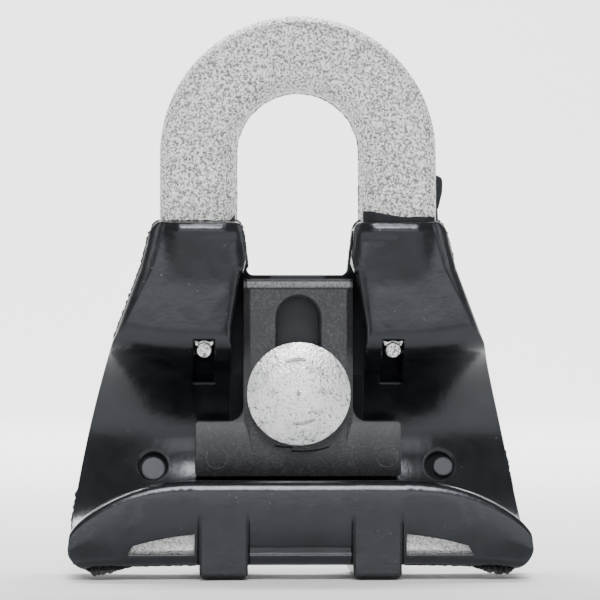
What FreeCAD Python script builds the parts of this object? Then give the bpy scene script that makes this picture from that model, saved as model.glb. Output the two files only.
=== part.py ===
import FreeCAD, Part
import math
import os
import Sketcher

# Suspension clamp for an insulated overhead conductor, in millimetres.
# X runs across the clamp, Y to its back and Z up, and the origin is the hook seat:
# the highest point of the eye's inner edge, in the middle of the loop's thickness.
# A drop is a depth below the hook seat, and a reach is a distance ahead of the loop's middle.

SIZES = (
    # loop
    ("eye_radius", 12.4, "inner radius of the eye"),
    ("loop_width", 15.3, "width of the cast loop, seen from the front"),
    ("loop_thick", 11.0, "thickness of the cast loop"),
    ("loop_inner_round", 4.5, "edge radius on the eye side of the loop"),
    ("loop_outer_round", 3.0, "edge radius on the outside of the loop"),
    ("leg_drop", 46.0, "how far down the loop's legs run inside the casting"),
    # bell, seen from the front
    ("boot_drop", 25.8, "top edge of the rubber on the legs"),
    ("boot_half", 29.2, "half width at the top edge of the rubber"),
    ("waist_drop", 35.2, "where the outline turns outwards"),
    ("waist_half", 31.6, "half width there"),
    ("shoulder_drop", 50.0, "where the slope turns into the long curve"),
    ("shoulder_half", 37.2, "half width there"),
    ("bell_curve", 250.0, "radius of the long curve"),
    ("bell_half", 46.0, "half width at the mouths of the saddle"),
    ("nose_round", 4.4, "lower corner radius of the bell"),
    ("bevel_at_boot", 3.0, "width of the soft bevel beside the legs"),
    ("bevel_at_shoulder", 1.6, "its width at the shoulder"),
    ("bevel_at_mouth", 0.8, "its width at the mouths"),
    ("bevel_on_top", 1.2, "its width along the boots' top edge"),
    ("bevel_depth", 3.0, "its depth"),
    ("bevel_middle", 0.35, "share of its width that lies behind its middle section"),
    ("edge_skin", 1.5, "rubber outside the casting, across the clamp"),
    ("skin", 2.0, "rubber over the casting, front and back"),
    # saddle, seen from the side
    ("leg_reach", 7.6, "half thickness of the rubber over the legs"),
    ("channel_radius", 16.5, "radius of the conductor channel"),
    ("channel_drop", 69.5, "depth of the channel's axis"),
    ("channel_reach", 9.0, "how far ahead the channel's axis lies"),
    ("wall_thick", 8.1, "wall behind and under the channel, both skins included"),
    ("brow_round", 7.0, "radius over the channel's upper edge"),
    ("floor_share", 0.35, "radius between the channel's floor and the lip, in lip heights"),
    ("lip_inner_share", 0.29, "radius on the inner top edge of the lip, in lip heights"),
    ("lip_inner_reach", 10.5, "inner face of the lip"),
    ("lip_outer_reach", 19.0, "outer face of the lip"),
    ("lip_drop", 77.4, "top edge of the lip"),
    ("lip_round", 2.5, "radius on the lip's outer top edge"),
    ("lip_turn_drop", 84.5, "where the lip's face starts to lean back"),
    ("lip_foot_reach", 17.6, "foot of the lip's face"),
    ("heel_round", 2.0, "radius under the lip"),
    ("back_turn_drop", 49.0, "where the flat back starts to slope to the legs"),
    ("leg_end_drop", 38.0, "where that slope meets the legs"),
    ("core_lip_cover", 2.5, "rubber over the top and the face of the metal lip"),
    ("core_foot_cover", 1.5, "rubber over the foot of the metal lip"),
    ("core_lip_bevel", 1.0, "bevel on the metal lip's outer top edge"),
    # mouths
    ("straight_half", 20.0, "half length of the straight part of the saddle"),
    ("core_inset", 4.0, "how far inside the rubber's mouths the metal saddle ends"),
    ("mouth_flare", 4.2, "how much the channel's radius grows at a mouth"),
    ("mouth_setback", 4.5, "how far the wall bends back at a mouth"),
    ("rim_flare", 0.9, "how much the wall's outer radius grows at a mouth"),
    ("lip_droop", 10.6, "how far the lip's top edge falls at a mouth"),
    ("turn_droop", 6.5, "how far the turn in the lip's face falls at a mouth"),
    ("lip_spread", 0.6, "how far the lip leans out at a mouth"),
    ("round_loss", 0.5, "share of the outer top edge's radius that is lost at a mouth"),
    # throat, pocket and bolt hole
    ("throat_top_half", 11.2, "half width of the rubber throat at its top"),
    ("throat_foot_half", 10.2, "half width of the rubber throat at its foot"),
    ("throat_drop", 36.6, "floor of the throat"),
    ("throat_round", 2.5, "corner radius of the throat's floor"),
    ("pocket_top_half", 11.7, "half width of the jaw's pocket at its top"),
    ("pocket_foot_half", 13.4, "half width of the pocket lower down"),
    ("pocket_drop", 33.4, "top of the pocket"),
    ("pocket_turn_drop", 47.0, "where the pocket's sides become parallel"),
    ("pocket_foot_drop", 68.0, "lower end of the pocket, inside the channel"),
    ("pocket_floor", 1.5, "floor of the pocket, behind the loop's middle"),
    ("pocket_skin", 1.2, "rubber on the pocket's sides"),
    ("front_edge_round", 1.3, "radius on the front edges of the throat and the pocket"),
    ("bolt_drop", 60.4, "depth of the bolt's axis"),
    ("bolt_hole_radius", 4.5, "hole for the bolt"),
    ("seat_radius", 9.0, "round window in the rubber behind the nut"),
    # windows
    ("pin_window_across", 18.9, "middle of a locating window"),
    ("pin_window_drop", 54.0, "its depth"),
    ("pin_window_width", 4.35, "its width"),
    ("pin_window_height", 8.9, "its height"),
    ("pin_radius", 1.4, "radius of the cast locating pin"),
    ("pin_drop", 51.7, "depth of the locating pin"),
    ("pin_sink", 0.3, "how far the pin's end stays behind the rubber's face"),
    ("pin_window_floor", 0.4, "rubber over the casting at the bottom of the window"),
    ("gate_across", 29.0, "middle of a gate recess"),
    ("gate_drop", 75.3, "its depth"),
    ("gate_radius", 3.0, "its radius"),
    ("gate_floor", 1.0, "how deep it goes into the rubber"),
    ("left_stub_radius", 2.45, "radius of the stub left in the left recess"),
    ("left_stub_fall", 0.35, "how far down the wall from the recess's middle it stands"),
    ("right_stub_radius", 2.0, "radius of the stub left in the right recess"),
    ("right_stub_shift", 0.8, "how far to the right of the recess's middle it stands"),
    ("stub_height", 0.7, "height of the stubs"),
    ("stub_root", 0.2, "how far a stub's drawn shape runs into the rubber"),
    ("lip_window_outer", 34.2, "outer end of a window in the lip"),
    ("lip_window_drop", 87.9, "top edge of the window beside the rib"),
    ("lip_window_sag", 2.3, "how much lower its outer end is"),
    ("lip_window_curve", 60.0, "radius of its top edge"),
    ("lip_window_margin", 1.0, "rubber beside the rib, and slant of the outer end"),
    ("ledge_drop", 91.9, "ledge under the windows"),
    ("middle_recess", 0.9, "depth of the blind recess between the ribs"),
    ("middle_recess_drop", 90.3, "its top edge"),
    # ribs
    ("rib_across", 15.2, "middle of a rib"),
    ("rib_width", 9.5, "width of a rib"),
    ("rib_top_drop", 82.0, "where a rib runs into the lip's face"),
    ("foot_drop", 97.0, "underside of the ribs"),
    ("foot_bevel", 1.1, "height of the bevel at the front of a foot"),
    ("foot_bevel_depth", 2.5, "depth of that bevel"),
    ("foot_back", 11.0, "back end of the flat under a foot"),
    ("foot_heel_drop", 84.0, "where a rib leaves the back wall"),
    ("rib_corner_round", 1.4, "radius on the ribs' lower corners"),
    # jaw
    ("stem_width", 21.9, "width of the jaw's stem"),
    ("stem_drop", 37.4, "top of the stem"),
    ("jaw_reach", 5.0, "front face of the stem"),
    ("stem_thick", 6.0, "thickness of the stem"),
    ("stem_bevel", 1.3, "bevel along the stem's sides"),
    ("bead_radius", 1.2, "radius of the bead across the stem's top"),
    ("bead_stand", 0.4, "how far the bead stands out of the stem"),
    ("bar_half", 20.6, "half length of the jaw's bar"),
    ("bar_top_drop", 66.0, "top of the bar"),
    ("lip_clearance", 0.4, "space between the bar's underside and the lip's top"),
    ("bar_depth", 8.4, "depth of the bar, front to back"),
    ("bar_bulge", 13.0, "radius of the bar's round front"),
    ("bar_hollow", 14.0, "radius of the hollow that presses on the conductor"),
    ("bar_corner_round", 0.7, "radius on the corners of the bar's ends"),
    ("crotch_round", 3.0, "radius between the stem and the bar"),
    ("slot_width", 8.4, "width of the slot"),
    ("slot_top_drop", 45.2, "centre of the slot's upper end"),
    ("slot_foot_drop", 65.4, "centre of its lower end"),
    ("slot_bevel", 0.7, "bevel round the slot"),
    # fasteners
    ("shank_radius", 4.0, "bolt shank"),
    ("bolt_length", 50.0, "length under the head"),
    ("head_radius", 10.33, "radius of the bolt's head"),
    ("head_height", 4.0, "height of the head"),
    ("head_rim", 2.4, "height of the head's straight edge"),
    ("neck_width", 8.0, "square neck under the head"),
    ("neck_length", 5.0, "its length"),
    ("tip_bevel", 1.0, "bevel at the bolt's tip"),
    ("washer_radius", 8.0, "flat washer"),
    ("washer_bore_gap", 0.2, "space round the shank in the washers"),
    ("washer_thick", 1.6, "thickness of the flat washer"),
    ("spring_width", 3.2, "section width of the spring washer"),
    ("spring_thick", 2.0, "section thickness of the spring washer"),
    ("spring_gap", 1.4, "gap in the spring washer"),
    ("nut_flats", 13.0, "across the nut's flats"),
    ("nut_height", 6.5, "height of the nut"),
    ("nut_gap", 0.05, "space between the nut's bore and the shank"),
    ("nut_corner_cut", 1.0, "how far the cutting ring for the nut's bevels runs past its corners"),
    # allowances for cutting shapes
    ("beyond", 30.0, "how far a cutting shape runs past what it cuts"),
)

doc = FreeCAD.newDocument("SuspensionClamp")
sheet = doc.addObject("Spreadsheet::Sheet", "Sizes")
for row, (alias, number, note) in enumerate(SIZES, start=1):
    sheet.set(f"A{row}", alias)
    sheet.set(f"B{row}", str(number))
    sheet.set(f"C{row}", note)
    sheet.setAlias(f"B{row}", alias)
doc.recompute()


class Names:
    """Expression text for each size: S.skin is the text Sizes.skin."""

    def __getattr__(self, alias):
        return f"Sizes.{alias}"


S = Names()


def amount(text):
    """The number that an expression on the sizes gives now."""
    found = sheet.evalExpression(str(text))
    return float(getattr(found, "Value", found))


def bind(thing, **expressions):
    """Ties properties of an object to the sizes. Two underscores stand for a dot."""
    for name, text in expressions.items():
        thing.setExpression(name.replace("__", "."), str(text))
    return thing


def new_body(name):
    return doc.addObject("PartDesign::Body", name)


def new_sketch(body, name, plane, offset="0"):
    """A sketch on one of the body's origin planes, moved along that plane's normal."""
    sketch = body.newObject("Sketcher::SketchObject", name)
    support = next(f for f in body.Origin.OriginFeatures if f.Role == plane)
    sketch.AttachmentSupport = [(support, "")]
    sketch.MapMode = "FlatFace"
    bind(sketch, AttachmentOffset__Base__z=offset)
    doc.recompute()
    return sketch


def draw(sketch, corners, bends=None, closed=True):
    """Draws lines, and arcs where bends gives a radius, between corners given as expressions.

    A bend is keyed by the number of the edge after its first corner. Its radius is followed by
    the side its centre lies on, "left" or "right" of the way along the edge.
    """
    bends = bends or {}
    points = [FreeCAD.Vector(amount(across), amount(up), 0) for across, up in corners]
    count = len(points)
    edges = count if closed else count - 1
    first = len(sketch.Geometry)
    starts = {}
    rules = []
    for n in range(edges):
        a, b = points[n], points[(n + 1) % count]
        if n not in bends:
            sketch.addGeometry(Part.LineSegment(a, b))
            starts[n] = (1, 2)
            continue
        radius, side = amount(bends[n][0]), bends[n][1]
        middle, along = (a + b) * 0.5, b - a
        rise = math.sqrt(max(radius**2 - (along.Length / 2) ** 2, 0))
        normal = FreeCAD.Vector(-along.y, along.x, 0).normalize() * rise
        centre = middle + normal if side == "left" else middle - normal
        circle = Part.Circle(centre, FreeCAD.Vector(0, 0, 1), radius)
        from_a = math.atan2(a.y - centre.y, a.x - centre.x)
        from_b = math.atan2(b.y - centre.y, b.x - centre.x)
        if side == "left":
            sketch.addGeometry(Part.ArcOfCircle(circle, from_a, from_b))
            starts[n] = (1, 2)
        else:
            sketch.addGeometry(Part.ArcOfCircle(circle, from_b, from_a))
            starts[n] = (2, 1)
        rules.append((Sketcher.Constraint("Radius", first + n, radius), bends[n][0]))
    for n in range(count if closed else count - 2):
        following = (n + 1) % count
        join = Sketcher.Constraint(
            "Coincident", first + n, starts[n][1], first + following, starts[following][0]
        )
        rules.append((join, None))
    for n, (across, up) in enumerate(corners):
        edge, end = (first + n, starts[n][0]) if n in starts else (first + n - 1, starts[n - 1][1])
        rules.append((Sketcher.Constraint("DistanceX", -1, 1, edge, end, points[n].x), across))
        rules.append((Sketcher.Constraint("DistanceY", -1, 1, edge, end, points[n].y), up))
    held = sketch.ConstraintCount
    sketch.addConstraint([rule for rule, _ in rules])
    for n, (_, text) in enumerate(rules, start=held):
        if text is not None:
            sketch.setExpression(f"Constraints[{n}]", str(text))
    return sketch


def circle(sketch, radius, across="0", up="0"):
    """Draws a full circle held by its centre and radius."""
    centre = FreeCAD.Vector(amount(across), amount(up), 0)
    edge = sketch.addGeometry(Part.Circle(centre, FreeCAD.Vector(0, 0, 1), amount(radius)))
    held = sketch.ConstraintCount
    sketch.addConstraint(
        [
            Sketcher.Constraint("Radius", edge, amount(radius)),
            Sketcher.Constraint("DistanceX", -1, 1, edge, 3, centre.x),
            Sketcher.Constraint("DistanceY", -1, 1, edge, 3, centre.y),
        ]
    )
    for n, text in enumerate((radius, across, up), start=held):
        sketch.setExpression(f"Constraints[{n}]", str(text))
    return sketch


def pad(body, name, sketch, length, midplane=True, kind="PartDesign::Pad"):
    feature = body.newObject(kind, name)
    feature.Profile = sketch
    feature.Midplane = midplane
    bind(feature, Length=length)
    return feature


def round_corner(sketch, across, up, radius, right, top):
    """Draws what is cut off a square corner to round it. right and top are 1 or -1."""
    outer_across, outer_up = f"{across} + {right} * {radius}", f"{up} + {top} * {radius}"
    inner_across, inner_up = f"{across} - {right} * {radius}", f"{up} - {top} * {radius}"
    corners = [
        (across, inner_up),
        (inner_across, up),
        (inner_across, outer_up),
        (outer_across, outer_up),
        (outer_across, inner_up),
    ]
    draw(sketch, corners, {0: (radius, "left" if right == top else "right")})


def box(name, x0, x1, y0, y1, z0, z1):
    """A block between two expressions along each axis."""
    block = doc.addObject("Part::Box", name)
    bind(block, Length=f"({x1}) - ({x0})", Width=f"({y1}) - ({y0})", Height=f"({z1}) - ({z0})")
    return bind(block, Placement__Base__x=x0, Placement__Base__y=y0, Placement__Base__z=z0)


def rod(name, radius, x, y0, y1, z):
    """A cylinder that runs from front to back."""
    cylinder = doc.addObject("Part::Cylinder", name)
    cylinder.Placement.Rotation = FreeCAD.Rotation(FreeCAD.Vector(1, 0, 0), -90)
    bind(cylinder, Radius=radius, Height=f"({y1}) - ({y0})")
    return bind(cylinder, Placement__Base__x=x, Placement__Base__y=y0, Placement__Base__z=z)


def fuse(name, *shapes):
    joined = doc.addObject("Part::MultiFuse", name)
    joined.Shapes = list(shapes)
    joined.Refine = True
    return joined


def boolean(kind, name, base, tool):
    made = doc.addObject(f"Part::{kind}", name)
    made.Base, made.Tool = base, tool
    made.Refine = True
    return made


# Sections and outlines that the casting and its rubber share


def saddle_corners(rounded_lip, cover, lip_cover, foot_cover, lip_round, share):
    """The J-shaped section of the saddle, seen from the side, with the front to the left.

    cover is the depth below the outside of the rubber, and share is how far the section has
    opened towards a mouth, from 0 in the straight part to 1 at the end. Without rounded_lip the
    lip's small arcs become straight bevels.
    """
    axis = f"({S.channel_reach} - {share} * {S.mouth_setback})"
    front = f"({S.leg_reach} - {cover} - {share} * {S.mouth_setback} / 2)"
    back = f"({S.leg_reach} - {cover})"
    radius = f"({S.channel_radius} + {cover} + {share} * {S.mouth_flare})"
    outer = f"({S.channel_radius} + {S.wall_thick} - {cover} + {share} * {S.rim_flare})"
    brow = f"({S.brow_round} - {cover})"
    top = f"({lip_round} * (1 - {share} * {S.round_loss}))"
    heel = f"({S.heel_round} - {cover} / 2)"
    inner_face = f"({S.lip_inner_reach} + {cover})"
    outer_face = f"({S.lip_outer_reach} - {lip_cover} + {share} * {S.lip_spread})"
    foot = f"({S.lip_foot_reach} - {foot_cover} + {share} * {S.lip_spread})"
    lip = f"({S.lip_drop} + {lip_cover} + {share} * {S.lip_droop})"
    turn = f"({S.lip_turn_drop} + {share} * {S.turn_droop})"
    bottom = f"({S.channel_drop} + {outer})"
    # how high the lip stands over the channel at its inner face, and the radii there
    lip_height = f"(sqrt({radius}^2 - ({inner_face} - {axis})^2) + {S.channel_drop} - {lip})"
    floor = f"({S.floor_share} * {lip_height})"
    inner_top = f"({S.lip_inner_share} * {lip_height})"
    # where the brow's small arc meets the front face and the channel
    brow_side = f"({axis} - {front} + {brow})"
    brow_rise = f"sqrt(({radius} + {brow})^2 - {brow_side}^2)"
    brow_share = f"{radius} / ({radius} + {brow})"
    # where the floor's small arc meets the channel and the lip
    floor_side = f"({axis} - {inner_face} + {floor})"
    floor_fall = f"sqrt(({radius} - {floor})^2 - {floor_side}^2)"
    floor_share = f"{radius} / ({radius} - {floor})"
    corners = [
        (f"-{front}", f"-{S.boot_drop} - {cover}"),
        (f"-{front}", f"{brow_rise} - {S.channel_drop}"),
        (
            f"{brow_side} * {brow_share} - {axis}",
            f"{brow_rise} * {brow_share} - {S.channel_drop}",
        ),
        (
            f"{floor_side} * {floor_share} - {axis}",
            f"-{S.channel_drop} - {floor_fall} * {floor_share}",
        ),
        (f"-{inner_face}", f"-{S.channel_drop} - {floor_fall}"),
        (f"-{inner_face}", f"-{lip} - {inner_top}"),
        (f"-{inner_face} - {inner_top}", f"-{lip}"),
        (f"-{outer_face} + {top}", f"-{lip}"),
        (f"-{outer_face}", f"-{lip} - {top}"),
        (f"-{outer_face}", f"-{turn}"),
        (f"-{foot}", f"-{bottom} + {heel}"),
        (f"-{foot} + {heel}", f"-{bottom}"),
        (f"-{axis}", f"-{bottom}"),
        (f"{outer} - {axis}", f"-{S.channel_drop}"),
        (f"{outer} - {axis}", f"-{S.back_turn_drop} - {cover} / 2"),
        (back, f"-{S.leg_end_drop} - {cover} / 2"),
        (back, f"-{S.boot_drop} - {cover}"),
    ]
    bends = {1: (brow, "left"), 2: (radius, "right"), 12: (outer, "left")}
    if rounded_lip:
        bends[3] = (floor, "right")
        bends[5] = (inner_top, "left")
        bends[7] = (top, "left")
        bends[10] = (heel, "left")
    return corners, bends


def saddle(name, end, *form):
    """A saddle that is straight in the middle and opens smoothly towards both mouths."""
    body = new_body(name)
    full = f"(({end} - {S.straight_half}) / ({S.bell_half} - {S.straight_half}))^2"
    stations = (
        (S.straight_half, "0"),
        (f"({S.straight_half} + {end}) / 2", f"({full} / 4)"),
        (end, f"({full})"),
    )
    middle = draw(new_sketch(body, f"{name}_middle", "YZ_Plane"), *saddle_corners(*form, "0"))
    pad(body, f"{name}_straight", middle, f"2 * {S.straight_half}")
    doc.recompute()
    sections = []
    for n, (station, share) in enumerate(stations):
        sketch = new_sketch(body, f"{name}_station_{n}", "YZ_Plane", station)
        sections.append(draw(sketch, *saddle_corners(*form, share)))
    mouth = loft(body, f"{name}_mouth", sections)
    doc.recompute()
    other = body.newObject("PartDesign::Mirrored", f"{name}_other_mouth")
    other.Originals = [mouth]
    plane = next(f for f in body.Origin.OriginFeatures if f.Role == "YZ_Plane")
    other.MirrorPlane = (plane, [""])
    body.Tip = other
    return body


def mirrored(right):
    """Adds the left half of an outline to its right half, which runs from top to bottom."""
    return right + [(f"-({across})", up) for across, up in reversed(right)]


def bell_outline(inset, top, bevel="0"):
    """The front outline of the clamp below its boots. bevel is 1 at the front of its bevelled edge."""
    nose = f"({S.nose_round} - {inset} / 2)"
    half = f"({S.bell_half} - {inset} - {bevel} * {S.bevel_at_mouth})"
    base = f"({S.channel_drop} + {S.channel_radius} + {S.wall_thick} + {S.rim_flare} - {inset})"
    beside_leg = f"({inset} + {bevel} * {S.bevel_at_boot})"
    beside_shoulder = f"({inset} + {bevel} * {S.bevel_at_shoulder})"
    right = [
        (f"{S.boot_half} - {beside_leg}", f"-{top} - {bevel} * {S.bevel_on_top}"),
        (f"{S.waist_half} - {beside_leg}", f"-{S.waist_drop}"),
        (f"{S.shoulder_half} - {beside_shoulder}", f"-{S.shoulder_drop}"),
        (half, f"-{base} + {nose}"),
        (f"{half} - {nose}", f"-{base}"),
    ]
    curve = (S.bell_curve, "right")
    return mirrored(right), {2: curve, 3: (nose, "right"), 5: (nose, "right"), 6: curve}


def loft(body, name, sections):
    """A smooth loft through sketches of one body."""
    doc.recompute()
    feature = body.newObject("PartDesign::AdditiveLoft", name)
    feature.Profile = sections[0]
    feature.Sections = sections[1:]
    return feature


def bell(name, inset, top):
    """A block with that outline, as deep as the whole clamp."""
    body = new_body(name)
    sketch = draw(new_sketch(body, f"{name}_outline", "XZ_Plane"), *bell_outline(inset, top))
    pad(body, f"{name}_block", sketch, f"4 * {S.beyond}")
    return body


def bevelled_bell(name, top):
    """The same block ending at the front of the boots, with its front edge worn soft."""
    body = new_body(name)
    start = f"({S.leg_reach} - {S.bevel_depth})"
    back = draw(new_sketch(body, f"{name}_back", "XZ_Plane", start), *bell_outline("0", top))
    block = pad(body, f"{name}_block", back, f"2 * {S.beyond}", midplane=False)
    block.Reversed = True
    stations = []
    for n, share in enumerate(("0", S.bevel_middle, "1")):
        reach = f"{start} + {S.bevel_depth} * (1 - (1 - {share})^2)"
        sketch = new_sketch(body, f"{name}_front_{n}", "XZ_Plane", reach)
        stations.append(draw(sketch, *bell_outline("0", top, share)))
    loft(body, f"{name}_edge", stations)
    return body


def pocket(name, growth, floor):
    """The space between the legs that the jaw's stem sits in, from its floor to the front."""

    def outline(wider):
        right = [
            (f"{S.pocket_top_half} + {wider}", f"-{S.pocket_drop} + {wider}"),
            (f"{S.pocket_foot_half} + {wider}", f"-{S.pocket_turn_drop}"),
            (f"{S.pocket_foot_half} + {wider}", f"-{S.pocket_foot_drop}"),
        ]
        return mirrored(right)

    body = new_body(name)
    sketch = draw(new_sketch(body, f"{name}_outline", "XZ_Plane", f"-({floor})"), outline(growth))
    pad(body, f"{name}_block", sketch, f"{S.leg_reach} + {floor}", midplane=False)
    flare(body, name, lambda wider: outline(f"({growth} + {wider})"))
    return body


def flare(body, name, outline):
    """Opens a cutting block towards the front, so that it leaves a softened edge."""
    inner = f"({S.leg_reach} - {S.front_edge_round})"
    sections = []
    for n, share in enumerate(("0", "0.5", "1", "1.5")):
        reach = f"{inner} + {S.front_edge_round} * {share}"
        wider = f"{S.front_edge_round} * {share}^2"
        sketch = new_sketch(body, f"{name}_flare_{n}", "XZ_Plane", reach)
        sections.append(draw(sketch, outline(wider)))
    loft(body, f"{name}_flare", sections)


# Cast core: one casting with the loop, the legs, the web and the metal saddle

core_back = f"({S.channel_radius} + {S.wall_thick} - {S.skin} - {S.channel_reach})"


def loop():
    """The eye and both legs, swept from one rounded section."""
    body = new_body("core_loop")
    middle = f"({S.eye_radius} + {S.loop_width} / 2)"
    path = draw(
        new_sketch(body, "loop_path", "XZ_Plane"),
        [
            (f"-{middle}", f"-{S.leg_drop}"),
            (f"-{middle}", f"-{S.eye_radius}"),
            ("0", f"{middle} - {S.eye_radius}"),
            (middle, f"-{S.eye_radius}"),
            (middle, f"-{S.leg_drop}"),
        ],
        {1: (middle, "right"), 2: (middle, "right")},
        closed=False,
    )
    inner, outer = f"(-{S.eye_radius})", f"(-{S.eye_radius} - {S.loop_width})"
    half, soft, hard = f"({S.loop_thick} / 2)", S.loop_inner_round, S.loop_outer_round
    section = draw(
        new_sketch(body, "loop_section", "XY_Plane", f"-{S.leg_drop}"),
        [
            (f"{outer} + {hard}", f"-{half}"),
            (f"{inner} - {soft}", f"-{half}"),
            (inner, f"-{half} + {soft}"),
            (inner, f"{half} - {soft}"),
            (f"{inner} - {soft}", half),
            (f"{outer} + {hard}", half),
            (outer, f"{half} - {hard}"),
            (outer, f"-{half} + {hard}"),
        ],
        {1: (soft, "left"), 3: (soft, "left"), 5: (hard, "left"), 7: (hard, "left")},
    )
    doc.recompute()
    pipe = body.newObject("PartDesign::AdditivePipe", "loop_sweep")
    pipe.Profile = section
    pipe.Spine = (path, ["Edge1", "Edge2", "Edge3", "Edge4"])
    return body


core_half = f"({S.bell_half} - {S.core_inset})"
core_saddle = saddle(
    "core_saddle",
    core_half,
    False,
    S.skin,
    S.core_lip_cover,
    S.core_foot_cover,
    S.core_lip_bevel,
)
core_body = boolean(
    "Common", "core_body", core_saddle, bell("core_bell", S.edge_skin, f"({S.boot_drop} + {S.skin})")
)
core_throat = box(
    "core_throat",
    f"-{S.eye_radius}",
    S.eye_radius,
    f"-{S.beyond}",
    S.beyond,
    f"-{S.throat_drop} - {S.skin}",
    "0",
)
core_open = boolean("Cut", "core_open", core_body, core_throat)
pins = [
    rod(
        f"pin_{side}",
        S.pin_radius,
        f"{sign}{S.pin_window_across}",
        f"-{S.leg_reach} + {S.pin_sink}",
        "0",
        f"-{S.pin_drop}",
    )
    for side, sign in (("left", "-"), ("right", ""))
]
core_whole = fuse("core_whole", core_open, loop(), *pins)
core_holes = fuse(
    "core_holes",
    pocket("core_pocket", S.pocket_skin, f"({S.pocket_floor} + {S.skin})"),
    rod("core_bolt_hole", S.bolt_hole_radius, "0", f"-{S.beyond}", S.beyond, f"-{S.bolt_drop}"),
)
shackle_core = boolean("Cut", "shackle_core", core_whole, core_holes)


# Rubber coat: one moulding over the casting, with the boots, the saddle's lining and two ribs


def rib(side, sign):
    """A rib that wraps under the saddle and ends in a flat foot."""
    body = new_body(f"rib_{side}")
    wall = f"({S.channel_radius} + {S.wall_thick})"
    inside = f"({S.channel_radius} + {S.wall_thick} / 2)"
    heel_up = f"({S.foot_heel_drop} - {S.channel_drop})"
    core_face = f"({S.lip_outer_reach} - {S.core_lip_cover} * 1.5)"
    sketch = draw(
        new_sketch(body, f"rib_{side}_side", "YZ_Plane", f"{sign}{S.rib_across}"),
        [
            (f"-{S.lip_outer_reach}", f"-{S.rib_top_drop}"),
            (f"-{S.lip_outer_reach}", f"-{S.foot_drop} + {S.foot_bevel}"),
            (f"-{S.lip_outer_reach} + {S.foot_bevel_depth}", f"-{S.foot_drop}"),
            (S.foot_back, f"-{S.foot_drop}"),
            (f"sqrt({wall}^2 - {heel_up}^2) - {S.channel_reach}", f"-{S.foot_heel_drop}"),
            (f"sqrt({inside}^2 - {heel_up}^2) - {S.channel_reach}", f"-{S.foot_heel_drop}"),
            (f"-{S.channel_reach}", f"-{S.channel_drop} - {inside}"),
            (f"-{core_face}", f"-{S.channel_drop} - {inside}"),
            (f"-{core_face}", f"-{S.rib_top_drop}"),
        ],
        {5: (inside, "right")},
    )
    pad(body, f"rib_{side}_block", sketch, S.rib_width)
    corners = new_sketch(body, f"rib_{side}_corners", "XZ_Plane")
    for way in (-1, 1):
        edge = f"{sign}{S.rib_across} + {way} * {S.rib_width} / 2"
        round_corner(corners, edge, f"-{S.foot_drop}", S.rib_corner_round, way, -1)
    pad(body, f"rib_{side}_rounding", corners, f"4 * {S.beyond}", kind="PartDesign::Pocket")
    return body


def throat():
    """The opening between the legs, down to the web."""

    def outline(wider):
        right = [
            (f"{S.throat_top_half} + {wider}", "0"),
            (f"{S.throat_top_half} + {wider}", f"-{S.boot_drop}"),
            (f"{S.throat_foot_half} + {wider}", f"-{S.throat_drop} + {S.throat_round}"),
            (f"{S.throat_foot_half} + {wider} - {S.throat_round}", f"-{S.throat_drop}"),
        ]
        return mirrored(right)

    body = new_body("throat")
    round_corners = {2: (S.throat_round, "right"), 4: (S.throat_round, "right")}
    sketch = draw(new_sketch(body, "throat_outline", "XZ_Plane"), outline("0"), round_corners)
    pad(body, "throat_block", sketch, f"4 * {S.beyond}")
    flare(body, "throat", outline)
    return body


def pin_window(side, sign):
    """The window round a locating pin, cut down to a thin floor of rubber over the casting."""
    half, rise = f"{S.pin_window_width} / 2", f"{S.pin_window_height} / 2"
    middle = f"{sign}{S.pin_window_across}"
    block = box(
        f"pin_window_{side}_block",
        f"{middle} - {half}",
        f"{middle} + {half}",
        f"-{S.beyond}",
        S.leg_reach,
        f"-{S.pin_window_drop} - {rise}",
        f"-{S.pin_window_drop} + {rise}",
    )
    body = new_body(f"pin_window_{side}_floor")
    cover = f"({S.skin} - {S.pin_window_floor})"
    section = saddle_corners(
        False, cover, S.core_lip_cover, S.core_foot_cover, S.core_lip_bevel, "0"
    )
    sketch = new_sketch(body, f"pin_window_{side}_section", "YZ_Plane", middle)
    draw(sketch, *section)
    pad(body, f"pin_window_{side}_form", sketch, f"2 * {S.pin_window_width}")
    return boolean("Cut", f"pin_window_{side}", block, body)


gate_share = f"(({S.gate_across} - {S.straight_half}) / ({S.bell_half} - {S.straight_half}))^2"
gate_axis = f"({S.channel_reach} - {gate_share} * {S.mouth_setback})"
gate_wall = f"({S.channel_radius} + {gate_share} * {S.mouth_flare})"
gate_fall = f"({S.gate_drop} - {S.channel_drop})"


def gate_rod(name, radius, across, start, end, fall="0"):
    """A cylinder square to the channel's wall, between two distances from the channel's axis.

    fall is how far down along the wall it stands from the recess's middle.
    """
    level = f"sqrt(1 - ({gate_fall} / {gate_wall})^2)"
    cylinder = doc.addObject("Part::Cylinder", name)
    cylinder.Placement.Rotation = FreeCAD.Rotation(FreeCAD.Vector(-1, 0, 0), 110)
    bind(cylinder, Radius=radius, Height=f"({end}) - ({start})")
    bind(cylinder, Placement__Rotation__Angle=f"90 deg + asin({gate_fall} / {gate_wall})")
    bind(cylinder, Placement__Base__x=across)
    slope = f"({gate_fall} / {gate_wall})"
    y = f"({start}) * {level} - {gate_axis} - {fall} * {slope}"
    z = f"-{S.channel_drop} - ({start}) * {slope} - {fall} * {level}"
    return bind(cylinder, Placement__Base__y=y, Placement__Base__z=z)


def gate_recess(side, sign):
    """The round recess that a moulding gate leaves in the channel's wall."""
    across = f"{sign}{S.gate_across}"
    floor = f"{gate_wall} + {S.gate_floor}"
    return gate_rod(f"gate_{side}", S.gate_radius, across, f"{gate_wall} / 2", floor)


def gate_stub(side, radius, across, fall):
    """The stub of rubber left standing in that recess."""
    floor = f"{gate_wall} + {S.gate_floor}"
    tip, root = f"{floor} - {S.stub_height}", f"{floor} + {S.stub_root}"
    return gate_rod(f"stub_{side}", radius, across, tip, root, fall)


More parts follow.
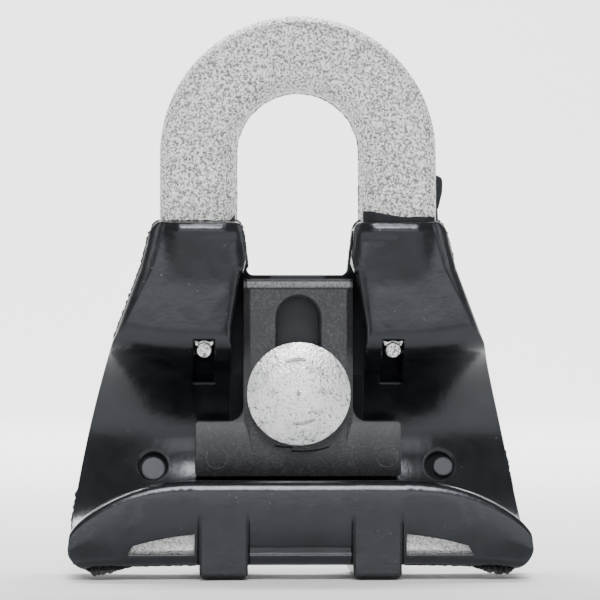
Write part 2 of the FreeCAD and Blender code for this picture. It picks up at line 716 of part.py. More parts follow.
def lip_window(side, sign):
    """The window in the lip that shows bare metal beside a rib."""
    body = new_body(f"lip_window_{side}")
    near = f"({S.rib_across} + {S.rib_width} / 2 + {S.lip_window_margin})"
    corner = f"({S.lip_window_outer} - {S.lip_window_margin})"
    outline = [
        (near, f"-{S.lip_window_drop}"),
        (corner, f"-{S.lip_window_drop} - {S.lip_window_sag}"),
        (S.lip_window_outer, f"-{S.ledge_drop}"),
        (near, f"-{S.ledge_drop}"),
    ]
    side_of_arc = "right"
    if sign == "-":
        outline = [(f"-({across})", up) for across, up in outline]
        side_of_arc = "left"
    depth = f"({S.lip_inner_reach} + {S.skin})"
    sketch = new_sketch(body, f"lip_window_{side}_outline", "XZ_Plane", depth)
    draw(sketch, outline, {0: (S.lip_window_curve, side_of_arc)})
    pad(body, f"lip_window_{side}_block", sketch, S.beyond, midplane=False)
    return body


hands = (("left", "-"), ("right", ""))
coat_saddle = saddle("coat_saddle", S.bell_half, True, "0", "0", "0", S.lip_round)
lip_space = box(
    "lip_space",
    f"-{S.bell_half}",
    S.bell_half,
    f"-{S.beyond}",
    S.beyond,
    f"-{S.foot_drop}",
    f"-{S.channel_drop}",
)
coat_bell = bell("coat_bell", "0", S.boot_drop)
coat_front = boolean("Common", "coat_front", coat_bell, lip_space)
coat_form = fuse("coat_form", coat_front, bevelled_bell("coat_boots", S.boot_drop))
coat_body = boolean("Common", "coat_body", coat_saddle, coat_form)
coat_whole = fuse("coat_whole", coat_body, *[rib(*hand) for hand in hands])
middle_half = f"({S.rib_across} - {S.rib_width} / 2)"
coat_holes = fuse(
    "coat_holes",
    throat(),
    pocket("coat_pocket", "0", S.pocket_floor),
    rod("coat_bolt_hole", S.bolt_hole_radius, "0", f"-{S.beyond}", S.beyond, f"-{S.bolt_drop}"),
    rod("nut_window", S.seat_radius, "0", core_back, S.beyond, f"-{S.bolt_drop}"),
    *[pin_window(*hand) for hand in hands],
    *[gate_recess(*hand) for hand in hands],
    *[lip_window(*hand) for hand in hands],
    box(
        "middle_recess",
        f"-{middle_half}",
        middle_half,
        f"-{S.beyond}",
        f"-{S.lip_foot_reach} + {S.middle_recess}",
        f"-{S.ledge_drop}",
        f"-{S.middle_recess_drop}",
    ),
)
coat_opened = boolean("Cut", "coat_opened", coat_whole, coat_holes)
stubs = (
    gate_stub("left", S.left_stub_radius, f"-{S.gate_across}", S.left_stub_fall),
    gate_stub("right", S.right_stub_radius, f"{S.gate_across} + {S.right_stub_shift}", "0"),
)
coat_stubbed = fuse("coat_stubbed", coat_opened, *stubs)
rubber_coat = boolean("Cut", "rubber_coat", coat_stubbed, shackle_core)


# Pressure jaw: a moulded T with a slotted stem and a bar that presses on the conductor


def jaw():
    body = new_body("pressure_jaw")
    half, front = f"({S.stem_width} / 2)", f"(-{S.jaw_reach})"
    back = f"({S.stem_thick} - {S.jaw_reach})"
    bar_foot = f"({S.lip_drop} - {S.lip_clearance})"
    bar_middle = f"(({S.bar_top_drop} + {bar_foot}) / 2)"
    bar_rise = f"(({bar_foot} - {S.bar_top_drop}) / 2)"
    edge = f"({front} + {S.bar_bulge} - sqrt({S.bar_bulge}^2 - {bar_rise}^2))"
    bar_back = f"({edge} + {S.bar_depth})"
    bar_side = draw(
        new_sketch(body, "bar_side", "YZ_Plane"),
        [
            (edge, f"-{S.bar_top_drop}"),
            (bar_back, f"-{S.bar_top_drop}"),
            (bar_back, f"-{bar_foot}"),
            (edge, f"-{bar_foot}"),
        ],
        {1: (S.bar_hollow, "left"), 3: (S.bar_bulge, "right")},
    )
    pad(body, "bar", bar_side, f"2 * {S.bar_half}")
    bar_corners = new_sketch(body, "bar_corners", "XZ_Plane")
    for way in (-1, 1):
        for up, top in ((f"-{S.bar_top_drop}", 1), (f"-{bar_foot}", -1)):
            round_corner(bar_corners, f"{way} * {S.bar_half}", up, S.bar_corner_round, way, top)
    pad(body, "bar_rounding", bar_corners, f"4 * {S.beyond}", kind="PartDesign::Pocket")
    stem_top_view = draw(
        new_sketch(body, "stem_top_view", "XY_Plane", f"-{bar_middle}"),
        [
            (f"-{half}", back),
            (f"-{half}", f"{front} + {S.stem_bevel}"),
            (f"-{half} + {S.stem_bevel}", front),
            (f"{half} - {S.stem_bevel}", front),
            (half, f"{front} + {S.stem_bevel}"),
            (half, back),
        ],
    )
    pad(body, "stem", stem_top_view, f"{bar_middle} - {S.stem_drop}", midplane=False)
    for side, sign in hands:
        crotch = [
            (f"{half} - {S.stem_bevel}", f"-{S.bar_top_drop} + {S.crotch_round}"),
            (half, f"-{S.bar_top_drop} + {S.crotch_round}"),
            (f"{half} + {S.crotch_round}", f"-{S.bar_top_drop}"),
            (f"{half} + {S.crotch_round}", f"-{bar_middle}"),
            (f"{half} - {S.stem_bevel}", f"-{bar_middle}"),
        ]
        arc_side = "left"
        if sign == "-":
            crotch = [(f"-({across})", up) for across, up in crotch]
            arc_side = "right"
        web = draw(
            new_sketch(body, f"crotch_{side}", "XZ_Plane", f"-{back}"),
            crotch,
            {1: (S.crotch_round, arc_side)},
        )
        pad(body, f"crotch_web_{side}", web, f"{back} - {edge}", midplane=False)
    bead_up = f"-{S.stem_drop} - {S.bead_radius}"
    bead = new_sketch(body, "bead_side", "YZ_Plane")
    circle(bead, S.bead_radius, f"{front} + {S.bead_radius} - {S.bead_stand}", bead_up)
    pad(body, "bead", bead, f"2 * ({half} - {S.stem_bevel} / 2)")
    slot_ends = []
    for name, growth, reach in (
        ("slot_mouth", S.slot_bevel, f"{S.jaw_reach} + {S.bead_stand}"),
        ("slot_neck", "0", f"{S.jaw_reach} - {S.slot_bevel}"),
    ):
        slot_ends.append(stadium(new_sketch(body, name, "XZ_Plane", reach), growth))
    doc.recompute()
    mouth = body.newObject("PartDesign::SubtractiveLoft", "slot_bevelled_mouth")
    mouth.Profile = slot_ends[0]
    mouth.Sections = [slot_ends[1]]
    through = stadium(new_sketch(body, "slot_outline", "XZ_Plane", S.beyond), "0")
    pad(body, "slot", through, f"2 * {S.beyond}", midplane=False, kind="PartDesign::Pocket")
    return body


def stadium(sketch, growth):
    """The outline of the jaw's slot, grown evenly by some distance."""
    half = f"({S.slot_width} / 2 + {growth})"
    top, foot = f"-{S.slot_top_drop}", f"-{S.slot_foot_drop}"
    corners = [
        (f"-{half}", foot),
        ("0", f"{foot} - {half}"),
        (half, foot),
        (half, top),
        ("0", f"{top} + {half}"),
        (f"-{half}", top),
    ]
    ends = {n: (half, "left") for n in (0, 1, 3, 4)}
    return draw(sketch, corners, ends)


pressure_jaw = jaw()


# Fasteners, each in a frame of its own with Y along the bolt


def fastener(name, along):
    """A body on the bolt's axis, at a distance behind the loop's middle."""
    body = new_body(name)
    return bind(body, Placement__Base__y=along, Placement__Base__z=f"-{S.bolt_drop}")


def turned(body, name, corners, bends=None, kind="PartDesign::Revolution"):
    """A turned form: its half section is drawn over the bolt's axis."""
    sketch = draw(new_sketch(body, f"{name}_section", "YZ_Plane"), corners, bends)
    feature = body.newObject(kind, name)
    feature.Profile = sketch
    feature.ReferenceAxis = (sketch, ["H_Axis"])
    feature.Angle = 360
    return feature


def bolt():
    body = fastener("carriage_bolt", f"-{S.jaw_reach}")
    crown = f"({S.head_height} - {S.head_rim})"
    dome = f"(({S.head_radius}^2 + {crown}^2) / (2 * {crown}))"
    turned(
        body,
        "head_and_shank",
        [
            (f"-{S.head_height}", "0"),
            (S.bolt_length, "0"),
            (S.bolt_length, f"{S.shank_radius} - {S.tip_bevel}"),
            (f"{S.bolt_length} - {S.tip_bevel}", S.shank_radius),
            ("0", S.shank_radius),
            ("0", S.head_radius),
            (f"-{S.head_rim}", S.head_radius),
        ],
        {6: (dome, "left")},
    )
    half = f"{S.neck_width} / 2"
    square = draw(
        new_sketch(body, "neck_outline", "XZ_Plane", f"-{S.neck_length}"),
        [(f"-{half}", f"-{half}"), (half, f"-{half}"), (half, half), (f"-{half}", half)],
    )
    pad(body, "neck", square, S.neck_length, midplane=False)
    return body


def washer(name, along, outer, thickness):
    body = fastener(name, along)
    sketch = new_sketch(body, f"{name}_face", "XZ_Plane", f"-{thickness}")
    circle(sketch, outer)
    circle(sketch, f"{S.shank_radius} + {S.washer_bore_gap}")
    pad(body, f"{name}_ring", sketch, thickness, midplane=False)
    return body


def split(body):
    """Cuts the slanting gap of a spring washer."""
    half, lean, past = f"{S.spring_gap} / 2", f"{S.spring_thick} / 2", "0.5"
    slant = draw(
        new_sketch(body, "gap_outline", "XY_Plane", S.washer_radius),
        [
            (f"-{half} - {lean} / 2", f"-{past}"),
            (f"{half} - {lean} / 2", f"-{past}"),
            (f"{half} + {lean} / 2", f"{S.spring_thick} + {past}"),
            (f"-{half} + {lean} / 2", f"{S.spring_thick} + {past}"),
        ],
    )
    pad(body, "gap", slant, S.washer_radius, midplane=False, kind="PartDesign::Pocket")


def nut(along):
    body = fastener("hex_nut", along)
    corner = f"({S.nut_flats} / sqrt(3))"
    side, half = f"({corner} / 2)", f"{S.nut_flats} / 2"
    hexagon = [
        (corner, "0"),
        (side, half),
        (f"-{side}", half),
        (f"-{corner}", "0"),
        (f"-{side}", f"-{half}"),
        (side, f"-{half}"),
    ]
    sketch = draw(new_sketch(body, "nut_face", "XZ_Plane", f"-{S.nut_height}"), hexagon)
    pad(body, "nut_block", sketch, S.nut_height, midplane=False)
    bore = new_sketch(body, "nut_bore", "XZ_Plane", S.nut_height)
    circle(bore, f"{S.shank_radius} + {S.nut_gap}")
    pad(body, "bore", bore, f"3 * {S.nut_height}", midplane=False, kind="PartDesign::Pocket")
    doc.recompute()
    reach = f"({corner} + {S.nut_corner_cut})"
    deep = f"(({reach} - {half}) / sqrt(3))"
    for name, face, way in (("front", "0", ""), ("back", S.nut_height, "-")):
        corners = [(face, half), (face, reach), (f"{face} + ({way}{deep})", reach)]
        turned(body, f"nut_{name}_bevel", corners, kind="PartDesign::Groove")
    return body


carriage_bolt = bolt()
flat_washer = washer("flat_washer", core_back, S.washer_radius, S.washer_thick)
spring_seat = f"({core_back} + {S.washer_thick})"
spring_outer = f"{S.shank_radius} + {S.washer_bore_gap} + {S.spring_width}"
spring_washer = washer("spring_washer", spring_seat, spring_outer, S.spring_thick)
doc.recompute()
split(spring_washer)
hex_nut = nut(f"({spring_seat} + {S.spring_thick})")


# Files

PIECES = (
    shackle_core,
    rubber_coat,
    pressure_jaw,
    carriage_bolt,
    flat_washer,
    spring_washer,
    hex_nut,
)


def write_pieces():
    """Checks the whole document, then writes one file for each piece."""
    doc.recompute()
    failed = [o.Name for o in doc.Objects if {"Invalid", "Error"} & set(o.State)]
    if failed:
        raise RuntimeError(f"these objects failed: {failed}")
    for piece in PIECES:
        if piece.Shape.isNull() or not piece.Shape.isValid():
            raise RuntimeError(f"{piece.Label} has no valid shape")
        if len(piece.Shape.Solids) != 1:
            raise RuntimeError(f"{piece.Label} is not one solid")
    os.makedirs("parts", exist_ok=True)
    for piece in PIECES:
        piece.Shape.exportStep(f"parts/{piece.Label}.step")
        print(f"{piece.Label}: {piece.Shape.Volume:.0f} cubic millimetres")


write_pieces()
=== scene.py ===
"""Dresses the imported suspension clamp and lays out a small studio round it."""

import math

import bmesh
import bpy
from bpy.props import FloatProperty, FloatVectorProperty, IntProperty, PointerProperty
from mathutils import Euler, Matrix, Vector, noise


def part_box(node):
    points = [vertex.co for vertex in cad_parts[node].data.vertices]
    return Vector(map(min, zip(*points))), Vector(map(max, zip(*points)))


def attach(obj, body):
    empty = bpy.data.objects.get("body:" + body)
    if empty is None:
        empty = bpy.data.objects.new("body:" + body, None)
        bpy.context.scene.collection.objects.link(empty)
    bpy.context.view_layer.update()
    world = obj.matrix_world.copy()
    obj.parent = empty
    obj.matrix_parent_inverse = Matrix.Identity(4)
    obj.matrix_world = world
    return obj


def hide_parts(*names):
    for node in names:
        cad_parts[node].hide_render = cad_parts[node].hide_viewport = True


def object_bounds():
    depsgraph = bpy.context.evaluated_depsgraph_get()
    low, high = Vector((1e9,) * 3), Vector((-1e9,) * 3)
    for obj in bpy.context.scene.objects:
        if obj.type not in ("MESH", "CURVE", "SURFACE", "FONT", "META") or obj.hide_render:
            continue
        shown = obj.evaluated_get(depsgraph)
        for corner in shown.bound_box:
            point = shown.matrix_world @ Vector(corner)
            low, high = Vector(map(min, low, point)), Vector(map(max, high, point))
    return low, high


bl_info = {
    "name": "Suspension clamp",
    "version": (1, 0, 0),
    "blender": (4, 5, 0),
    "location": "3D View > Sidebar > Clamp",
    "description": "Dresses the packed suspension clamp and lays out its studio",
    "category": "Object",
}

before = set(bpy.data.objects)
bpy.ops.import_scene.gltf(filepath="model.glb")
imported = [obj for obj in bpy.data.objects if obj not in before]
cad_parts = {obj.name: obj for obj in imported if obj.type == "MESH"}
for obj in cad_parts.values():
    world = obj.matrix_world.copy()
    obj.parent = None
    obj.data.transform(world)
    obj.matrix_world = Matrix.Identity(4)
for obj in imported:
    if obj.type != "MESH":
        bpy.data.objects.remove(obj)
CAD_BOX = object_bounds()
MM = 0.001

# Corners that are closer than this are taken as one, in metres

WELD = 0.002 * MM

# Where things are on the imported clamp, in metres

BOLT_LOW, BOLT_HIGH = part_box("carriage_bolt")
BOLT_UP = (BOLT_LOW.z + BOLT_HIGH.z) / 2
SHANK_RADIUS = 4.0 * MM

# What follows is in millimetres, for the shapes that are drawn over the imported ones.
# Bolt: the front of its head, the radius of the head's dome, and its axis

HEAD_FRONT = BOLT_LOW.y / MM
HEAD_DOME = 34.1
BOLT_AXIS = BOLT_UP / MM

# Thread: where it starts and how far before the bolt's end it stops, how deep its foot
# is sunk and its crest too, and the widths of both as shares of half a pitch

THREAD_START, THREAD_RUNOUT = 6.0, 1.1
FOOT_SINK, CREST_SINK = 0.05, 0.02
FOOT_WIDTH, CREST_WIDTH = 0.92, 0.14

# Loop and legs

EYE_RADIUS = 12.4
LEG_OUTSIDE = 27.7
LEG_HALF = 5.5
LEG_INNER_ROUND = 4.5
LEG_OUTER_ROUND = 3.0

# Boots: their top edge, their front, and the bevel between the two

BOOT_TOP = -25.8
BOOT_FRONT = -7.6
BEVEL_DEPTH = 3.0
BEVEL_DROP = 1.2
BEVEL_BACK = -4.5

# How far down the bevel is drawn up, and what share of its own drop is left

TOP_DROP = 3.0
TOP_SHARE = 0.35

# Swell of the boots' front: two rises, each with its share and the drops it runs
# between, where it starts and ends across, and how it fades below the rises

STEEP_SHARE, STEEP_DROPS = 0.46, (0.0, 0.42)
SOFT_SHARE, SOFT_DROPS = 0.54, (0.3, 1.7)
SWELL_INNER, SWELL_OUTER = (11.5, 15.5), (23.5, 27.5)
FADE, FADE_BEND = 0.1, 8.0
END_FADE, FADE_END = 0.0125, 12.0

# Outline of the bell, as places across and up, the bulge of its last stretch, and the
# round of its lower corner

BELL = ((29.2, -25.8), (31.6, -35.2), (37.2, -50.0), (46.0, -90.6))
BELL_BULGE = 0.86
NOSE_ROUND = 4.4

# Throat, whose walls bend at a height, and the pocket for the jaw's stem with the notch
# over each side of it

THROAT_FLOOR = -36.6
THROAT_ROUND = 2.5
THROAT_FOOT_HALF = 10.2
THROAT_TOP_HALF = 11.2
THROAT_BEND = -34.1
NOTCH_NEAR, NOTCH_FAR = 10.2, 13.2
NOTCH_SIDE = 11.5
POCKET_TOP = -33.4
POCKET_FLOOR = 1.5
STEM_ROOM = 11.2
FLARE = 1.3

# Channel and lip. What droops does so along the mouth, outside the straight middle

STRAIGHT_HALF = 20.0
MOUTH_LENGTH = 26.0
CHANNEL_DEPTH, CHANNEL_UP, CHANNEL_RADIUS = -9.0, -69.5, 16.5
CEILING_DEPTH, CEILING_UP, CEILING_RADIUS = -0.6, -47.55, 7.0
CEILING_FOOT = -54.09
LIP_TOP, LIP_DROOP = -77.4, 10.6
LIP_TURN, TURN_DROOP = -84.5, 6.5
LIP_FACE, LIP_SPREAD = -19.0, 0.6
LIP_FOOT = -93.9
LIP_ROUND = 2.5

# The lip's upper edge gets tighter by a share of its round. Over a slope its points then
# go back, and under it they go down

LIP_TIGHTER = 0.3
LIP_SLOPE = 0.34
LIP_BACK, LIP_DOWN = 0.2, 0.5

# Its top line falls as two powers of how far along the mouth it is, each with a share

EARLY_SHARE, EARLY_POWER = 0.93, 2.4
LATE_SHARE, LATE_POWER = 0.12, 24

# Locating pins, and the outer edge and the height of their windows

PIN_ACROSS, PIN_UP = 18.9, -51.7
WINDOW_EDGE = 21.07
WINDOW_FOOT, WINDOW_TOP = -58.5, -50.5

# The lean of a window's outer wall sets in and goes back by a share, between these drops

LEAN_START = (50.6, 52.4)
LEAN_LOSS, LEAN_END = 0.75, (53.0, 58.0)

# Gate recesses: their middle, their radius, the lean of the wall and how deep they are

GATE_MIDDLE = (29.0, -75.0)
GATE_RADIUS = 3.3
GATE_LEAN = (0.94, 0.341)
GATE_FLOOR = 33.3
GATE_BACK = 10.5

# The jaw's bar, the ejector rings on it, and two scratches on the jaw's front. Each
# scratch is an arc, given by its middle, its radius, and where it starts and ends across

BAR_AXIS_DEPTH, BAR_AXIS_UP, BAR_RADIUS = 8.0, -71.5, 13.0
RING_RADIUS = 2.1
RUB_MARKS = (
    ((0.4, -31.6), 39.6, -4.9, -0.9),
    ((0.5, -53.25), 18.7, -1.6, 6.4),
)

# Sides of a rib

RIB_SIDES = (10.45, 19.95)

# Flash: how deep the upper part's parting line lies, and how far a fin starts inside it

PARTING_DEPTH = -2.6
FIN_ROOT = -0.3

# Edges between faces that meet at more than this stay sharp, in degrees: on a piece
# that stands for a packed one, and on an added one

SHARP_OVER = 32.0
ADDED_SHARP_OVER = 35.0


# Sizes and colours


def length(name, description, millimetres, low=0.01, high=50.0):
    """A length that the panel shows in Blender's own units."""
    return FloatProperty(
        name=name,
        description=description,
        default=millimetres * MM,
        min=low * MM,
        max=high * MM,
        precision=5,
        subtype="DISTANCE",
        unit="LENGTH",
    )


def colour(name, description, red, green, blue):
    return FloatVectorProperty(
        name=name,
        description=description,
        default=(red, green, blue, 1.0),
        min=0.0,
        max=1.0,
        size=4,
        subtype="COLOR",
    )


def power(name, description, watts):
    return FloatProperty(
        name=name,
        description=description,
        default=watts,
        min=0.0,
        subtype="POWER",
        unit="POWER",
    )


class ClampSizes(bpy.types.PropertyGroup):
    """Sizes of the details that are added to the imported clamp."""

    cast_edge: length("Cast edge", "Softness of the casting's edges", 0.5)
    rubber_edge: length("Rubber edge", "Softness of the rubber's edges", 0.55)
    plastic_edge: length("Jaw edge", "Softness of the jaw's edges", 0.35)
    steel_edge: length("Steel edge", "Softness of the fasteners' edges", 0.2)
    thread_pitch: length("Thread pitch", "Distance between the bolt's threads", 1.25)
    thread_depth: length("Thread depth", "Depth of the bolt's thread", 0.68)
    thread_steps: IntProperty(
        name="Thread steps",
        description="Steps in one turn of the bolt's thread",
        default=28,
        min=8,
        max=96,
    )
    fin_thickness: length("Fin thickness", "Thickness of the rubber's flash", 0.25)
    fin_height: length("Fin height", "How far the rubber's flash stands out", 0.42)
    seam_width: length("Seam width", "Width of the seam round the eye", 0.9)
    seam_height: length("Seam height", "How far the casting's seam stands out", 0.3)
    boot_swell: length("Boot swell", "How far the boots' front bulges under its top edge", 1.25)
    boot_corner: length("Boot corner", "Radius on the boots' upper corners", 1.8)
    throat_corner: length("Throat corner", "Radius in the corners of the throat", 1.3)
    window_slope: length("Window slope", "Lean of the windows' outer walls", 1.0)
    dash_height: length("Dash height", "How far the dashes stand out of the bolt's head", 0.38)


class ClampColours(bpy.types.PropertyGroup):
    """Colours of the clamp's four finishes."""

    cast_metal: colour("Cast metal", "Blasted aluminium of the loop", 0.48, 0.482, 0.482)
    rubber: colour("Rubber", "Black rubber of the coat", 0.005, 0.0056, 0.007)
    plastic: colour("Plastic", "Glass-filled plastic of the jaw", 0.014, 0.014, 0.015)
    zinc: colour("Zinc", "Plating of the fasteners", 0.78, 0.79, 0.8)


class ClampStudio(bpy.types.PropertyGroup):
    """The camera, the lights and the white sweep behind the clamp."""

    distance: length("Distance", "From the lens to the clamp", 950.0, 100.0, 5000.0)
    view_width: length("View width", "What the picture spans at the clamp", 120.72, 10.0, 1000.0)
    turn: FloatProperty(
        name="Turn",
        description="How far the camera stands to the left",
        default=math.radians(2.0),
        subtype="ANGLE",
        unit="ROTATION",
    )
    key_light: power("Key light", "Gridded softbox above and in front of the clamp", 0.58)
    front_light: power("Front light", "Wide soft panel round the camera", 4.9)
    side_light: power("Side light", "Each of the two tall lights beside the clamp", 0.2)
    sweep_light: power("Sweep light", "Lamp over the white sweep behind the clamp", 62.0)
    sky: FloatProperty(
        name="Sky",
        description="Brightness of the room round the studio",
        default=0.35,
        min=0.0,
    )


# Materials


class Value:
    """What a node gives out, to be used in sums as a number is."""

    def __init__(self, finish, socket):
        self.finish = finish
        self.socket = socket

    def maths(self, operation, *values):
        return self.finish.node(
            "ShaderNodeMath", {"operation": operation}, dict(enumerate(values))
        )

    def __add__(self, other):
        return self.maths("ADD", self, other)

    def __sub__(self, other):
        return self.maths("SUBTRACT", self, other)

    def __rsub__(self, other):
        return self.maths("SUBTRACT", other, self)

    def __mul__(self, other):
        return self.maths("MULTIPLY", self, other)

    def __pow__(self, other):
        return self.maths("POWER", self, other)

    def __abs__(self):
        return self.maths("ABSOLUTE", self)

    __radd__ = __add__
    __rmul__ = __mul__

    def step(self, low, high):
        """0 below low, 1 above high and a smooth rise between them."""
        settings = {"interpolation_type": "SMOOTHSTEP"}
        sockets = {"Value": self, "From Min": low, "From Max": high}
        return self.finish.node("ShaderNodeMapRange", settings, sockets)

    def band(self, low, high, soft):
        """1 between low and high, with a smooth rise and fall inside them."""
        return self.step(low, low + soft) * (1 - self.step(high - soft, high))

    def near(self, middle, inner, outer):
        """1 within inner of the middle, 0 beyond outer and a smooth fall between them."""
        return 1 - abs(self - middle).step(inner, outer)


class Finish:
    """A material with one Principled shader, built from expressions."""

    def __init__(self, name, **constants):
        self.material = bpy.data.materials.new(name)
        self.material.use_nodes = True
        self.tree = self.material.node_tree
        self.shader = self.tree.nodes["Principled BSDF"]
        self.place = self.node("ShaderNodeTexCoord", {}, {}, "Object")
        for socket, value in constants.items():
            self.feed(socket.replace("_", " "), value)

    def node(self, kind, settings, sockets, output=0):
        made = self.tree.nodes.new(kind)
        for key, value in settings.items():
            setattr(made, key, value)
        for key, value in sockets.items():
            self.join(made.inputs[key], value)
        return Value(self, made.outputs[output])

    def join(self, socket, value):
        if isinstance(value, Value):
            self.tree.links.new(value.socket, socket)
        else:
            socket.default_value = value

    def feed(self, socket, value):
        self.join(self.shader.inputs[socket], value)

    def noise(self, size, detail=2.0, rough=0.5, place=None):
        """Soft random patches of about that size in metres, from 0 to 1."""
        sockets = {
            "Vector": place or self.place,
            "Scale": 1.0 / size,
            "Detail": detail,
            "Roughness": rough,
        }
        return self.node("ShaderNodeTexNoise", {}, sockets)

    def cells(self, size):
        """Distance from scattered points about that far apart, in cell sizes."""
        sockets = {"Vector": self.place, "Scale": 1.0 / size}
        return self.node("ShaderNodeTexVoronoi", {"feature": "F1"}, sockets, "Distance")

    def stretched(self, x, y, z):
        """The place on the clamp, squeezed along each axis by a factor."""
        sockets = {"Vector": self.place, "Scale": (x, y, z)}
        return self.node("ShaderNodeMapping", {}, sockets)

    def coordinates(self):
        """How far across, how deep and how high the place on the clamp is, in metres."""
        sockets = {"Vector": self.place}
        return [self.node("ShaderNodeSeparateXYZ", {}, sockets, axis) for axis in "XYZ"]

    def mix(self, share, first, second):
        """A colour between two others."""
        settings = {"data_type": "RGBA"}
        return self.node("ShaderNodeMix", settings, {0: share, 6: first, 7: second}, 2)

    def soft_edges(self, radius):
        return self.node("ShaderNodeBevel", {"samples": 6}, {"Radius": radius})

    def bump(self, height, distance, normal):
        """Raises the surface by up to distance where height is 1."""
        sockets = {"Height": height, "Distance": distance, "Strength": 1.0, "Normal": normal}
        return self.node("ShaderNodeBump", {}, sockets)


def shade(colour, factor):
    """A lighter or darker form of a colour."""
    return (*(min(1.0, channel * factor) for channel in colour[:3]), 1.0)


def distance_from(middle, across, up):
    """Distance from a line that runs straight back through a place on the front view."""
    side = across - middle[0] * MM
    drop = up - middle[1] * MM
    return (side * side + drop * drop) ** 0.5


def cast_metal(sizes, colours):
    """Rough cast aluminium, blasted, with a coarse wormy grain and a few dull patches, painted
    lighter and made less metallic in the lip's windows.
    """
    made = Finish("cast_metal")
    _, _, up = made.coordinates()
    sockets = {"Vector": made.place, "Scale": 1 / (1.1 * MM)}
    warp = made.node("ShaderNodeTexNoise", {}, sockets, "Color")
    bent = made.node(
        "ShaderNodeVectorMath",
        {"operation": "MULTIPLY_ADD"},
        {0: warp, 1: (0.5 * MM, 0.5 * MM, 0.5 * MM), 2: made.place},
    )
    grain = made.noise(0.45 * MM, 2.0, 0.55, bent)
    pits = made.cells(1.3 * MM).step(0.05, 0.4)
    waves = made.noise(5 * MM)
    # Below the lip's top edge the metal is painted lighter, a painted light in the lip's shaded
    # windows, and made less metallic.
    lip_painted_lighter = 1 - up.step(-80 * MM, -78 * MM)
    tone = grain.step(0.3, 0.68) * 0.85 + pits * 0.1 + waves * 0.2 + lip_painted_lighter * 0.12
    share = tone.step(0.1, 1.0) + lip_painted_lighter * 0.2
    dark, bright = shade(colours.cast_metal, 0.36), shade(colours.cast_metal, 2.2)
    made.feed("Base Color", made.mix(share, dark, bright))
    made.feed("Metallic", 0.85 - lip_painted_lighter * 0.85)
    made.feed("Roughness", 0.44 + grain * 0.22)
    edges = made.soft_edges(sizes.cast_edge)
    made.feed("Normal", made.bump(grain.step(0.3, 0.7) * 0.8 + pits * 0.2, 0.26 * MM, edges))
    return made.material


def pocket_mask(across, depth, up):
    """1 on the sides of the jaw's pocket, and less on its floor behind the jaw's slot."""
    sides = 0.3 + 0.7 * across.step(5 * MM, 6 * MM)
    inside = sides * (1 - across.step(13.3 * MM, 13.6 * MM)) * depth.step(-3.6 * MM, -1.5 * MM)
    return inside * (1 - up.step(-37 * MM, -34 * MM)) * up.step(-66.5 * MM, -66 * MM)


def gate_masks(across, depth, up):
    """Two masks: the floor of a gate recess, and its stub with the upper edge round it."""
    soft = 0.2 * MM
    radius, floor_depth, back = GATE_RADIUS * MM, GATE_FLOOR * MM, GATE_BACK * MM
    inside = 1 - distance_from(GATE_MIDDLE, across, up).step(radius, radius + soft)
    inside *= 1 - depth.step(back, back + 0.5 * MM)
    sunk = depth * GATE_LEAN[0] - up * GATE_LEAN[1]
    floor = inside * sunk.step(floor_depth, floor_depth + soft)
    return floor, inside - floor


def crease_mask(across, depth, up):
    """1 along both sides of each rib, from where it leaves the lip."""
    lines = sum(across.near(side * MM, 0.12 * MM, 0.45 * MM) for side in RIB_SIDES)
    return lines * (1 - up.step(-87 * MM, -83 * MM)) * (1 - depth.step(-17 * MM, -16 * MM))


def black_rubber(sizes, colours, name="black_rubber", rough=0.0):
    """Moulded rubber: satin, with flow marks, scuffs and dust, matt deep in its pocket and on the
    gate recesses' floors, and darker there as painted shade.
    """
    made = Finish(name, Specular_IOR_Level=0.5, Specular_Tint=(0.88, 0.93, 1.0, 1.0))
    across, depth, up = made.coordinates()
    across = abs(across)
    flow = made.noise(9 * MM, 4.0, 0.6, made.stretched(1.0, 1.0, 0.35))
    smudge = made.noise(3.2 * MM, 4.0, 0.55)
    skin = made.noise(0.35 * MM, 2.0, 0.6)
    scuffs = made.noise(0.8 * MM, 2.0, 0.7, made.stretched(0.25, 1.0, 1.0)).step(0.66, 0.78)
    scuffed = made.noise(7 * MM).step(0.5, 0.7)
    dust = 1 - made.cells(1.5 * MM).step(0.05, 0.1)
    dusty = made.noise(5 * MM).step(0.5, 0.62)
    upper = up.step(-40 * MM, -36 * MM) * 0.5 + 0.5
    marks = (dust * dusty * 1.3 + scuffs * 0.16 * scuffed) * upper
    gate_floor, stub = gate_masks(across, depth, up)
    crease = crease_mask(across, depth, up)
    deep = pocket_mask(across, depth, up) + gate_floor
    # The pocket and the gate recesses' floors get the darkest rubber colour and no dust marks:
    # painted shade.
    outside_painted_shade = 1 - deep
    dark, bright = shade(colours.rubber, 0.7), shade(colours.rubber, 1.5)
    rubber = made.mix(smudge.step(0.3, 0.75) * outside_painted_shade, dark, bright)
    made.feed("Base Color", made.mix(marks * 0.35 * outside_painted_shade, rubber, (0.42, 0.42, 0.41, 1.0)))
    matt = deep * 0.8 + stub * 0.24 + crease * 0.4
    made.feed("Roughness", 0.12 + rough + flow * 0.14 + smudge * 0.08 + matt)
    edges = made.soft_edges(sizes.rubber_edge)
    height = smudge * 0.5 + flow * 0.9 + skin * 0.09 - crease * 2.0
    made.feed("Normal", made.bump(height, 0.14 * MM, edges))
    return made.material


def rub_mask(across, depth, up):
    """1 along the two scratches on the jaw's front, under the bolt's head."""
    lines = 0
    for middle, radius, first, last in RUB_MARKS:
        line = distance_from(middle, across, up).near(radius * MM, 0.04 * MM, 0.18 * MM)
        lines += line * across.band(first * MM, last * MM, 0.5 * MM)
    return lines * (1 - depth.step(-4.9 * MM, -4.5 * MM))


